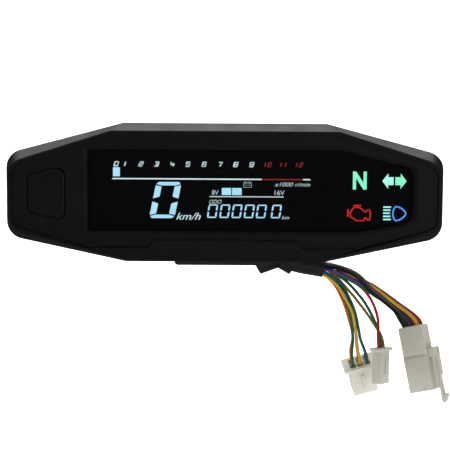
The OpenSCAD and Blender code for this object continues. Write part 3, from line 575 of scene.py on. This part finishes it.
def lead_points(guide, leaves, places, letter, terminal):
    """A lead's centreline from the sleeve's end into its terminal, in metres."""
    last = len(guide) - 1
    stops = [(leaves[0] * ROW_STEP, leaves[1] * LEAD_STEP)] + places
    x, y = terminal_places(*CONNECTORS[letter][2:4])[terminal]
    place = hung(letter)
    target = place @ Vector((x, y, 0)) - Vector(CONNECTORS[letter][0])
    points = []
    for i, here in enumerate(guide):
        t = i / last
        k = 0 if t < STATIONS[1] else 1 if t < STATIONS[2] else 2
        share = ease((t - STATIONS[k]) / (STATIONS[k + 1] - STATIONS[k]))
        out = stops[k][0] + (stops[k + 1][0] - stops[k][0]) * share
        back = stops[k][1] + (stops[k + 1][1] - stops[k][1]) * share
        tangent = (guide[min(i + 1, last)] - guide[max(i - 1, 0)]).normalized()
        outwards = tangent.cross(Vector((0, 1, 0))).normalized()
        merge = ease((t - STATIONS[3]) / MERGE_STRETCH)
        points.append(here + (1 - merge) * (outwards * out + Vector((0, back, 0))) + merge * target)
    points.append(place @ Vector((x, y, -TERMINAL_DEPTH)))
    return [p * MM for p in points]


# ---- Settings ----
def length_setting(name, description, default):
    return bpy.props.FloatProperty(name=name, description=description, default=default, unit="LENGTH",
                                   min=0.0)


def colour_setting(name, description, default):
    return bpy.props.FloatVectorProperty(name=name, description=description, default=default,
                                         subtype="COLOR", min=0.0, max=1.0)


class ClusterSizes(bpy.types.PropertyGroup):
    """Sizes that a user would change"""

    cover_length: length_setting("Cover length", "Length of the cluster, for the stage's size",
                                 COVER_HIGH.x - COVER_LOW.x)
    rim_round: length_setting("Rim rounding", "Radius of the rim's outer edge", 0.0013)
    lead_diameter: length_setting("Lead diameter", "Outside diameter of one lead", 0.0016)
    sleeve_wall: length_setting("Sleeve wall", "Wall thickness of the harness sleeve", 0.0006)
    floor_drop: length_setting("Floor drop", "Distance from the mounting axis down to the floor", 0.16)
    glow: bpy.props.FloatProperty(name="Glow", description="Brightness of the lit segments", default=2.2,
                                  min=0.0)


class ClusterColours(bpy.types.PropertyGroup):
    """Colours that a user would change"""

    plastic: colour_setting("Cover plastic", "Black moulded cover and button", (0.005, 0.005, 0.0058))
    lens: colour_setting("Lens", "Smoked acrylic", (0.003, 0.003, 0.0035))
    segments: colour_setting("Segments", "Lit display segments", (0.42, 0.8, 1.0))
    numerals: colour_setting("Numerals", "Printed white of the display", (0.72, 0.96, 0.98))
    redline: colour_setting("Redline", "Red numerals and line", (0.24, 0.02, 0.018))
    neutral: colour_setting("Green telltales", "Neutral and turn signals", (0.26, 1.0, 0.62))
    warning: colour_setting("Red telltale", "Engine warning", (0.56, 0.018, 0.014))
    beam: colour_setting("Blue telltale", "High beam", (0.08, 0.34, 1.0))
    nylon: colour_setting("Nylon", "Natural nylon of the connectors", (0.66, 0.64, 0.55))


LEAD_COLOURS = {
    "orange": (0.62, 0.13, 0.01), "green": (0.006, 0.13, 0.05), "yellow": (0.66, 0.42, 0.02),
    "red": (0.55, 0.01, 0.012), "teal": (0.004, 0.1, 0.11), "blue": (0.015, 0.04, 0.3),
    "olive": (0.3, 0.2, 0.02), "black": (0.008, 0.008, 0.009), "grey": (0.06, 0.055, 0.06),
    "brown": (0.1, 0.03, 0.012), "purple": (0.07, 0.02, 0.2),
}


class Builder(bpy.types.Operator):
    """A step of the cluster's making"""

    bl_idname = "cluster.builder"
    bl_label = "Builder"

    def execute(self, context):
        self.make()
        return {"FINISHED"}

    def make(self):
        raise RuntimeError("a builder makes something")


class BuildStage(Builder):
    """Makes the camera, the lights and the pale floor"""

    bl_idname = "cluster.stage"
    bl_label = "Stage"

    def make(self):
        scene = bpy.context.scene
        scene.view_settings.view_transform = "Standard"
        half = sizes().cover_length * HALF_PICTURE / COVER_LENGTH
        distance, raised = 1.0, math.radians(8.5)
        aim = Vector((0.0002, -0.034, -0.0178))
        camera = bpy.data.objects.new("camera", bpy.data.cameras.new("camera"))
        camera.data.lens = camera.data.sensor_width * distance / (2 * half)
        camera.location = aim + Vector((0, -math.cos(raised), math.sin(raised))) * distance
        turned = (aim - camera.location).to_track_quat("-Z", "Y").to_matrix().to_4x4()
        camera.matrix_world = (Matrix.Translation(camera.location) @ turned
                               @ Matrix.Rotation(math.radians(0.35), 4, "Z"))
        scene.collection.objects.link(camera)
        scene.camera = camera

        world = bpy.data.worlds.new("studio")
        world.use_nodes = True
        world.node_tree.nodes["Background"].inputs["Color"].default_value = (0.9, 0.95, 1.0, 1)
        world.node_tree.nodes["Background"].inputs["Strength"].default_value = 0.08
        scene.world = world

        drop = sizes().floor_drop
        bm = bmesh.new()
        bmesh.ops.create_grid(bm, x_segments=1, y_segments=1, size=3.0)
        back = [e for e in bm.edges if all(v.co.y > 2.9 for v in e.verts)]
        risen = bmesh.ops.extrude_edge_only(bm, edges=back)["geom"]
        risen = [v for v in risen if isinstance(v, bmesh.types.BMVert)]
        bmesh.ops.translate(bm, vec=(0, 0, 3.0), verts=risen)
        bmesh.ops.bevel(bm, geom=back, offset=0.8, segments=16, affect="EDGES", profile=0.5, material=-1)
        bmesh.ops.translate(bm, vec=(0, -1.6, -drop), verts=bm.verts[:])
        mesh = bpy.data.meshes.new("floor")
        bm.to_mesh(mesh)
        bm.free()
        mesh.materials.append(moulded("floor_paper", (0.93, 0.93, 0.93), 0.9, grain=300.0, mottle=0.01,
                                      strength=0.05))
        principled = mesh.materials[0].node_tree.nodes["Principled BSDF"]
        principled.inputs["Emission Color"].default_value = (1, 1, 1, 1)
        principled.inputs["Emission Strength"].default_value = 0.6
        mesh.shade_smooth()
        floor = bpy.data.objects.new("floor", mesh)
        floor.visible_glossy = False
        scene.collection.objects.link(floor)

        self.lamp("top_softbox", (-0.1, 0.45, 0.75), (0, 0, 0), 1.3, 0.7, 2.4)
        self.lamp("front_softbox", (-0.5, -1.1, 0.9), (0, 0, -0.03), 0.7, 0.7, 1.7)
        self.lamp("low_fill", (0.6, -0.9, -0.02), (0.08, 0, -0.09), 0.5, 0.3, 1.1)
        self.lamp("floor_wash", (0, 1.0, 1.3), (0, 0.9, -0.16), 2.4, 1.2, 26.0)

    def lamp(self, name, place, aim, wide, tall, power):
        light = bpy.data.lights.new(name, "AREA")
        light.shape = "RECTANGLE"
        light.size, light.size_y, light.energy = wide, tall, power
        lamp = bpy.data.objects.new(name, light)
        lamp.location = place
        lamp.rotation_mode = "QUATERNION"
        lamp.rotation_quaternion = (Vector(aim) - Vector(place)).to_track_quat("-Z", "Y")
        bpy.context.scene.collection.objects.link(lamp)


def cavity_outlines(columns, rows):
    """The square holes over the terminals."""
    return [box_outline(x - 1.6, x + 1.6, y - 1.6, y + 1.6) for x, y in terminal_places(columns, rows)]


def prism(outlines, bottom, top, bevel=0.3):
    """A block with upright holes, in millimetres."""
    mesh = plate(outlines, 0, top - bottom, bevel)
    mesh.transform(Matrix.Scale(1 / MM, 4))
    mesh.transform(Matrix.Rotation(math.radians(-90), 4, "X"))
    depths = [v.co.z for v in mesh.vertices]
    mesh.transform(Matrix.Translation((0, 0, bottom - min(depths))))
    return mesh


def centred(wide, deep):
    return box_outline(-wide / 2, wide / 2, -deep / 2, deep / 2)


class BuildConnectors(Builder):
    """Makes the two plugs, the socket and its latch"""

    bl_idname = "cluster.connectors"
    bl_label = "Connectors"

    def make(self):
        nylon = moulded("natural_nylon", colours().nylon, 0.42, grain=1400.0, relief=0.00003, strength=0.25,
                        mottle=0.05, wear=0.1, scatter=0.35)
        self.plug("a", nylon, 13.6, 9.4, 2.6)
        self.plug("b", nylon, 13.2, 5.4, 1.5)
        self.socket(nylon)
        self.latch(nylon)
        tinned = metal("tinned_brass", (0.75, 0.62, 0.36), 0.3)
        finish_cad(tinned, "plug_a_terminals", "plug_b_terminals", "socket_c_terminals")

    def hang(self, name, meshes, letter, material, body=CLUSTER):
        for mesh in meshes:
            mesh.transform(Matrix.Scale(MM, 4) @ hung(letter))
        made = piece(name + "_body", meshes, material, body)
        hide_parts(name)

    def plug(self, letter, material, wide, deep, overhang):
        columns, rows, name = CONNECTORS[letter][2:]
        holes = cavity_outlines(columns, rows)
        parts = [prism([centred(wide + 2 * overhang, deep + 2)] + holes, -PLUG_FLANGE, 0, 0.25),
                 prism([centred(wide, deep)] + holes, -PLUG_LENGTH, 0.2 - PLUG_FLANGE, 0.35),
                 block((-0.6, -deep / 2 - 0.8, -14.6), (0.6, -deep / 2 + 0.3, -5.8), 0.2)]
        for side in (-1, 1):
            low, high = sorted((side * (wide / 2 - 0.2), side * (wide / 2 + overhang * 0.7)))
            parts.append(block((low, -0.5, -4.6), (high, 0.5, -1.7), 0.2))
        self.hang(name, parts, letter, material)

    def socket(self, material):
        parts = [prism([centred(13.2, 13.2)] + cavity_outlines(3, 3), -SOCKET_SHOULDER, 0, 0.45),
                 prism([centred(13.4, 13.4), centred(10.8, 10.8)], -SOCKET_LENGTH, 1.2 - SOCKET_SHOULDER,
                       0.4)]
        for side in (-1, 1):
            middle = side * 3.25
            parts.append(block((6.4, middle - 0.6, -18.2), (11.3, middle + 0.6, -13.2), 0.25))
        self.hang("socket_c", parts, "c", material)

    def latch(self, material):
        x, z = LATCH_OUT, LATCH_DOWN
        profile = [(x - 0.6, z - 29), (x - 0.6, z), (x + 0.9, z), (x + 0.9, z - 1.6), (x + 1.9, z - 2.6),
                   (x + 1.9, z - 13), (x + 0.9, z - 14.4), (x + 0.9, z - 24.2), (x + 2.9, z - 24.2),
                   (x + 2.9, z - 25.6), (x + 0.9, z - 29)]
        arm = plate([profile], 0, 4.6, 0.2)
        arm.transform(Matrix.Scale(1 / MM, 4))
        depths = [v.co.y for v in arm.vertices]
        arm.transform(Matrix.Translation((0, -(min(depths) + max(depths)) / 2, 0)))
        barrel = rod(1.2, (x, -2.3, z), (x, 2.3, z), 32, 0.2)
        pin = rod(0.6, (x, -3.3, z), (x, 3.3, z), 24, 0.1)
        self.hang("socket_c_latch", [arm, barrel, pin], "c", material, "latch")


class BuildHarness(Builder):
    """Makes the sleeve and the leads with their natural hang"""

    bl_idname = "cluster.harness"
    bl_label = "Harness"

    def make(self):
        paints = {key: moulded("lead_" + key, colour, 0.34, grain=1200.0, relief=0.00002, strength=0.15,
                               mottle=0.12, wear=0.08) for key, colour in LEAD_COLOURS.items()}
        for name, guide, leaves, places, letter, terminal in LEADS:
            points = lead_points(guide, leaves, places, letter, terminal)
            self.lead(name, points, paints[name.split("_")[-1]], letter)
        self.sleeve()

    def lead(self, name, points, material, letter):
        curve = bpy.data.curves.new(name + "_wire", "CURVE")
        curve.dimensions = "3D"
        curve.bevel_depth = sizes().lead_diameter / 2
        curve.bevel_resolution = 4
        curve.resolution_u = 6
        curve.use_fill_caps = True
        spline = curve.splines.new("BEZIER")
        spline.bezier_points.add(len(points) - 1)
        for knot, place in zip(spline.bezier_points, points):
            knot.co = place
            knot.handle_left_type = knot.handle_right_type = "AUTO"
        curve.materials.append(material)
        wire = bpy.data.objects.new(name + "_wire", curve)
        bpy.context.scene.collection.objects.link(wire)
        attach(wire, CLUSTER)
        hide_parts(name)

    def sleeve(self):
        curve = bpy.data.curves.new("sleeve", "CURVE")
        curve.dimensions = "3D"
        curve.bevel_depth = SLEEVE_RADIUS * MM
        curve.bevel_resolution = 12
        curve.resolution_u = 6
        spline = curve.splines.new("BEZIER")
        line = SLEEVE_LINE + [(54.0, -44.3)]
        spline.bezier_points.add(len(line) - 1)
        for knot, (x, z) in zip(spline.bezier_points, line):
            knot.co = Vector((x, SLEEVE_Y, z)) * MM
            knot.handle_left_type = knot.handle_right_type = "AUTO"
        mesh = mesh_of(curve)
        vinyl = moulded("sleeve_vinyl", (0.012, 0.012, 0.013), 0.42, grain=420.0, relief=0.0006, strength=0.25,
                        mottle=0.1, wear=0.12)
        tube = piece("sleeve", [mesh], vinyl)
        wall = tube.modifiers.new("wall", "SOLIDIFY")
        wall.thickness = sizes().sleeve_wall
        wall.offset = -1
        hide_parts("harness_sleeve")
        rubber = moulded("outlet_rubber", (0.01, 0.01, 0.01), 0.6, grain=1500.0, mottle=0.1)
        finish_cad(rubber, "harness_grommet", "inner_leads")
        finish_cad(moulded("clip_plastic", (0.012, 0.012, 0.013), 0.4, grain=1600.0), "harness_clip")


class BuildCover(Builder):
    """Makes the front cover with its rim, panel, window frame and chin"""

    bl_idname = "cluster.cover"
    bl_label = "Front cover"

    def make(self):
        plastic = moulded("cover_plastic", colours().plastic, 0.46, grain=3200.0, relief=0.00006, strength=0.4,
                          mottle=0.12, wear=0.06, shine=0.25)
        soft = sizes().rim_round / MM
        rim = [(rounded(inset(REAR_EDGE, 1.8), EDGE_RADII), COVER_DEPTH),
               (rounded(inset(REAR_EDGE, 0.3), EDGE_RADII), COVER_DEPTH),
               (rounded(REAR_EDGE, EDGE_RADII), COVER_DEPTH - 0.3)]
        for step in range(5):
            angle = math.pi / 2 * step / 4
            rim.append((rounded(inset(FRONT_EDGE, soft * (1 - math.cos(angle))), EDGE_RADII),
                        soft * (1 - math.sin(angle))))
        rim += [(rounded(inset(PANEL_EDGE, -0.45), PANEL_RADII), 0.0),
                (rounded(inset(PANEL_EDGE, -0.12), PANEL_RADII), 0.12),
                (rounded(PANEL_EDGE, PANEL_RADII), 0.4),
                (rounded(PANEL_EDGE, PANEL_RADII), PANEL_BACK)]
        button_hole = inset(BUTTON_EDGE, -0.35)
        panel = plate([rounded(inset(PANEL_EDGE, -0.6), PANEL_RADII),
                       rounded(inset(WINDOW_EDGE, -2.1), WINDOW_RADII),
                       rounded(inset(button_hole, -0.3), BUTTON_RADII)], PANEL_DEPTH, PANEL_BACK)
        frame_ring = [(rounded(inset(WINDOW_EDGE, -by), WINDOW_RADII), depth) for by, depth in
                      [(2.1, PANEL_BACK), (2.1, 1.2), (1.9, 1.2), (1.65, 1.32), (0.2, 2.36), (0.0, 2.55),
                       (0.0, PANEL_BACK)]]
        hole_ring = [(rounded(inset(button_hole, -by), BUTTON_RADII), depth) for by, depth in
                     [(0.3, PANEL_BACK), (0.3, 1.2), (0.2, 1.21), (0.06, 1.3), (0.0, 1.45),
                      (0.0, PANEL_BACK)]]
        chin = plate([CHIN], 0.04, 1.6, 0.2)
        parts = [loft(rim), panel, loft(frame_ring), loft(hole_ring), chin]
        cover = piece("front_cover_moulding", parts, plastic)
        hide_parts("front_cover")
        self.button(plastic)

    def button(self, plastic):
        dish = moulded("button_plastic", shaded(colours().plastic, 0.9), 0.4, grain=3600.0, relief=0.00004,
                       strength=0.35, mottle=0.1, wear=0.05, shine=0.3)
        rings = [(rounded(inset(BUTTON_EDGE, by), BUTTON_RADII), depth) for by, depth in
                 [(0.0, 4.6), (0.0, 1.05), (0.08, 0.85), (0.28, 0.68), (0.55, 0.61), (0.9, 0.6), (1.5, 0.62),
                  (1.9, 0.7)]]
        cap = loft(rings[::-1], close_front=True, close_back=True)
        flange = plate([rounded(inset(BUTTON_EDGE, -1.3), BUTTON_RADII)], 3.45, 4.35, 0.1)
        stem = rod(2.5 * MM, (-0.095, (4.4 - WHOLE_DEPTH) * MM, -0.0015),
                   (-0.095, (10 - WHOLE_DEPTH) * MM, -0.0015), 48, 0.0002)
        button = piece("mode_button_cap", [cap, flange, stem], dish, "button")
        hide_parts("mode_button")


class BuildLens(Builder):
    """Makes the smoked lens"""

    bl_idname = "cluster.lens"
    bl_label = "Lens"

    def make(self):
        acrylic = smoked("smoked_acrylic", colours().lens, 0.32)
        rings = [(rounded(inset(WINDOW_EDGE, by), WINDOW_RADII), depth) for by, depth in
                 [(0.35, 2.5), (0.15, 2.7), (0.15, GASKET_BACK), (-1.7, GASKET_BACK), (-1.9, 3.9), (-1.9, 5.5),
                  (-1.7, LENS_BACK)]]
        lens = piece("lens", [loft(rings, True, True)], acrylic, smooth=20)
        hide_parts("smoked_lens")


class BuildDisplay(Builder):
    """Makes the lit segments, numerals and words of the display"""

    bl_idname = "cluster.display"
    bl_label = "Display"

    def make(self):
        glow = sizes().glow
        segments = glowing("lit_segments", colours().segments, glow)
        white = glowing("lit_numerals", colours().numerals, glow * 0.9)
        dim = glowing("lit_words", shaded(colours().numerals, 0.9), glow * 0.75)
        red = glowing("lit_redline", colours().redline, glow)
        self.tachometer(segments, white, red, dim)
        digit = segment_outlines((-40.6, -15.3), (-27.0, 4.3), 3.3, 1.9, 0.2, 0.32)
        piece("speed_digit", [lit(outline) for outline in digit], segments)
        piece("speed_unit", [words("km/h", -26.0, -12.8, -16.1, -12.3, 0.35, 0.02)], white)
        self.voltmeter(segments, dim)
        places = [-9.6, -3.0, 3.5, 10.1, 16.6, 24.6]
        zeros = []
        for x in places:
            zeros += segment_outlines((x, -15.0), (x + 5.1, -7.7), 0.85, 0.65, 0.14, 0.12)
        piece("odometer_digits", [lit(outline) for outline in zeros], segments)
        piece("odometer_words", [words("ODO", -8.4, -1.7, -7.3, -5.2, 0.4),
                                 words("km", 30.6, 34.7, -15.5, -13.7, 0.3)], dim)

    def tachometer(self, segments, white, red, dim):
        centres = [-58.1, -53.4, -44.9, -36.5, -28.0, -19.8, -11.1, -2.6, 5.8, 14.3, 22.7, 31.2, 39.5]
        numerals = []
        for value, x in enumerate(centres):
            numerals.append(numeral(value, x, 12.5, 15.3, 1.9 if value < 10 else 1.45, 0.6))
        piece("rpm_numerals", sum(numerals[:10], []), white)
        piece("rpm_redline_numerals", sum(numerals[10:], []), red)
        piece("rpm_bar", [bar(-59.9, -56.2, 7.2, 12.0)], segments)
        piece("rpm_scale_line", [bar(-60.2, 19.7, 5.6, 6.3), bar(41.8, 45.7, 5.6, 6.3)], white)
        piece("rpm_redline", [bar(20.1, 41.5, 5.6, 6.2)], red)
        piece("rpm_words", [words("x1000 r/min", 26.5, 45.7, 2.2, 4.4, 0.35)], dim)

    def voltmeter(self, segments, dim):
        piece("voltage_bars", [bar(-1.6, 3.4, -2.6, 1.2), bar(3.9, 9.0, -2.6, 1.2)], segments)
        piece("voltage_line", [bar(-8.2, 31.5, -3.75, -3.2)], dim)
        piece("voltage_words", [words("8V", -6.9, -3.4, -2.5, 0.0), words("16V", 26.7, 32.0, -2.5, 0.0)], dim)
        case = [(10.0, 3.9), (10.0, 1.6), (14.3, 1.6), (14.3, 3.9)]
        nubs = [[(x - 0.6, 4.0), (x - 0.6, 4.5), (x + 0.6, 4.5), (x + 0.6, 4.0)] for x in (11.0, 13.3)]
        signs = [[(10.8, 2.8), (11.8, 2.8)], [(12.6, 2.8), (13.6, 2.8)]]
        piece("battery_icon", [stroke(case, 0.24, True)] + [stroke(nub, 0.24) for nub in nubs]
              + [stroke(sign, 0.2) for sign in signs], dim)


class BuildTelltales(Builder):
    """Makes the lit telltale icons"""

    bl_idname = "cluster.telltales"
    bl_label = "Telltales"

    def make(self):
        glow = sizes().glow
        green = glowing("lit_green", colours().neutral, glow)
        pale_green = glowing("lit_pale_green", (0.45, 1.0, 0.85), glow)
        red = glowing("lit_red", colours().warning, glow)
        blue = glowing("lit_blue", colours().beam, glow)
        pale_blue = glowing("lit_pale_blue", (0.42, 1.0, 1.0), glow)
        x0, x1, z0, z1, bold, slope = 68.5, 75.9, 0.8, 10.5, 1.75, 3.6
        letter = [(x0, z1), (x0 + bold, z1), (x1 - bold, z0 + slope), (x1 - bold, z1), (x1, z1), (x1, z0),
                  (x1 - bold, z0), (x0 + bold, z1 - slope), (x0 + bold, z0), (x0, z0)]
        piece("neutral_icon", [lit(letter)], green)
        for side, name, paint in ((-1, "left_turn_icon", pale_green), (1, "right_turn_icon", green)):
            middle, height = 90.75, 5.45
            arrow = [(0.45, 2.15), (3.3, 2.15), (3.3, 4.2), (6.5, 0), (3.3, -4.2), (3.3, -2.15), (0.45, -2.15)]
            piece(name, [lit([(middle + side * x, height + z) for x, z in arrow])], paint)
        block_line = [(68.7, -9.6), (69.4, -8.9), (72.4, -8.9), (74.0, -10.2), (74.9, -11.2), (76.0, -11.2),
                      (76.3, -10.3), (77.7, -10.3), (78.2, -12.4), (77.9, -15.0), (77.4, -15.7), (76.2, -15.5),
                      (76.0, -14.5), (75.0, -14.5), (74.8, -16.0), (70.4, -16.0), (68.9, -14.6), (67.5, -14.1),
                      (67.5, -11.4)]
        lines = [[(68.9, -7.9), (73.2, -7.9)], [(71.1, -7.9), (71.1, -8.9)], [(66.1, -9.8), (66.1, -14.0)],
                 [(66.1, -11.9), (67.5, -11.9)]]
        piece("engine_icon", [stroke(block_line, 0.8, True)] + [stroke(line, 0.9) for line in lines], red)
        lamp = [(91.6, -8.3), (93.6, -8.6), (95.4, -9.7), (96.8, -11.2), (97.1, -12.1), (96.8, -13.0),
                (95.4, -14.5), (93.6, -15.6), (91.6, -15.9), (90.8, -14.9), (90.3, -13.4), (90.2, -12.1),
                (90.3, -10.8), (90.8, -9.3)]
        piece("high_beam_lamp_icon", [stroke(lamp, 0.85, True)], blue)
        rays = [bar(85.0, right, z - 0.4, z + 0.4) for z, right in
                zip((-8.6, -10.25, -11.9, -13.6, -15.3), (89.2, 88.9, 88.6, 88.9, 89.2))]
        piece("high_beam_rays_icon", rays, pale_blue)


class FinishInside(Builder):
    """Finishes the display's inner parts, the board and the rear housing"""

    bl_idname = "cluster.inside"
    bl_label = "Inside and rear"

    def make(self):
        matt = moulded("inner_plastic", (0.0014, 0.0014, 0.0015), 0.8, grain=1500.0, mottle=0.05, shine=0.1)
        finish_cad(matt, "display_frame", "switch_plunger", "vent_plug")
        finish_cad(moulded("polariser_film", (0.0012, 0.0012, 0.0016), 0.5, grain=500.0, strength=0.05,
                           mottle=0.05, shine=0.1),
                   "lcd_polarizers", "lcd_glass")
        finish_cad(moulded("printed_film", (0.0012, 0.0012, 0.0014), 0.6, grain=900.0, mottle=0.05, shine=0.1),
                   "telltale_film")
        finish_cad(moulded("white_plastic", (0.85, 0.85, 0.83), 0.5, mottle=0.03), "telltale_lightbox",
                   "backlight_reflector", "light_guide", "harness_header")
        finish_cad(moulded("lamp_resin", (0.8, 0.72, 0.4), 0.3, mottle=0.05), "telltale_leds", "backlight_leds")
        finish_cad(moulded("solder_mask", (0.01, 0.09, 0.035), 0.35, grain=900.0, mottle=0.2), "circuit_board")
        finish_cad(moulded("chip_resin", (0.015, 0.015, 0.016), 0.55), "microcontroller", "lcd_driver",
                   "voltage_regulator", "small_components", "switch_base")
        finish_cad(metal("can_aluminium", (0.7, 0.7, 0.72), 0.3), "capacitors")
        finish_cad(metal("tinned_pins", (0.7, 0.7, 0.68), 0.35), "lcd_pins")
        finish_cad(metal("zinc_plate", (0.62, 0.63, 0.66), 0.32), "housing_screws", "board_screws", "clip_screw")
        finish_cad(metal("insert_brass", (0.72, 0.5, 0.2), 0.3), "mount_inserts")
        finish_cad(moulded("seal_rubber", (0.01, 0.01, 0.01), 0.65, grain=1200.0), "lens_gasket", "housing_seal",
                   "button_seal")
        finish_cad(moulded("housing_plastic", (0.014, 0.014, 0.015), 0.55, grain=2200.0, relief=0.0001,
                           strength=0.5), "rear_housing")


class ClusterPanel(bpy.types.Panel):
    """Lists the cluster's settings and its steps"""

    bl_idname = "VIEW3D_PT_cluster"
    bl_label = "Instrument cluster"
    bl_space_type = "VIEW_3D"
    bl_region_type = "UI"
    bl_category = "Cluster"

    def draw(self, context):
        for group in (context.scene.cluster_sizes, context.scene.cluster_colours):
            for name in group.__annotations__:
                self.layout.prop(group, name)
        for step in STEPS:
            self.layout.operator(step.bl_idname)


STEPS = (BuildStage, BuildConnectors, BuildHarness, BuildCover, BuildLens, BuildDisplay, BuildTelltales,
         FinishInside)
CLASSES = (ClusterSizes, ClusterColours) + STEPS + (ClusterPanel,)


def register():
    for part in CLASSES:
        bpy.utils.register_class(part)
    bpy.types.Scene.cluster_sizes = bpy.props.PointerProperty(type=ClusterSizes)
    bpy.types.Scene.cluster_colours = bpy.props.PointerProperty(type=ClusterColours)


def unregister():
    del bpy.types.Scene.cluster_colours
    del bpy.types.Scene.cluster_sizes
    for part in reversed(CLASSES):
        bpy.utils.unregister_class(part)


def main():
    register()
    for step in (bpy.ops.cluster.stage, bpy.ops.cluster.connectors, bpy.ops.cluster.harness,
                 bpy.ops.cluster.cover, bpy.ops.cluster.lens, bpy.ops.cluster.display,
                 bpy.ops.cluster.telltales, bpy.ops.cluster.inside):
        step()


if __name__ == "__main__":
    main()
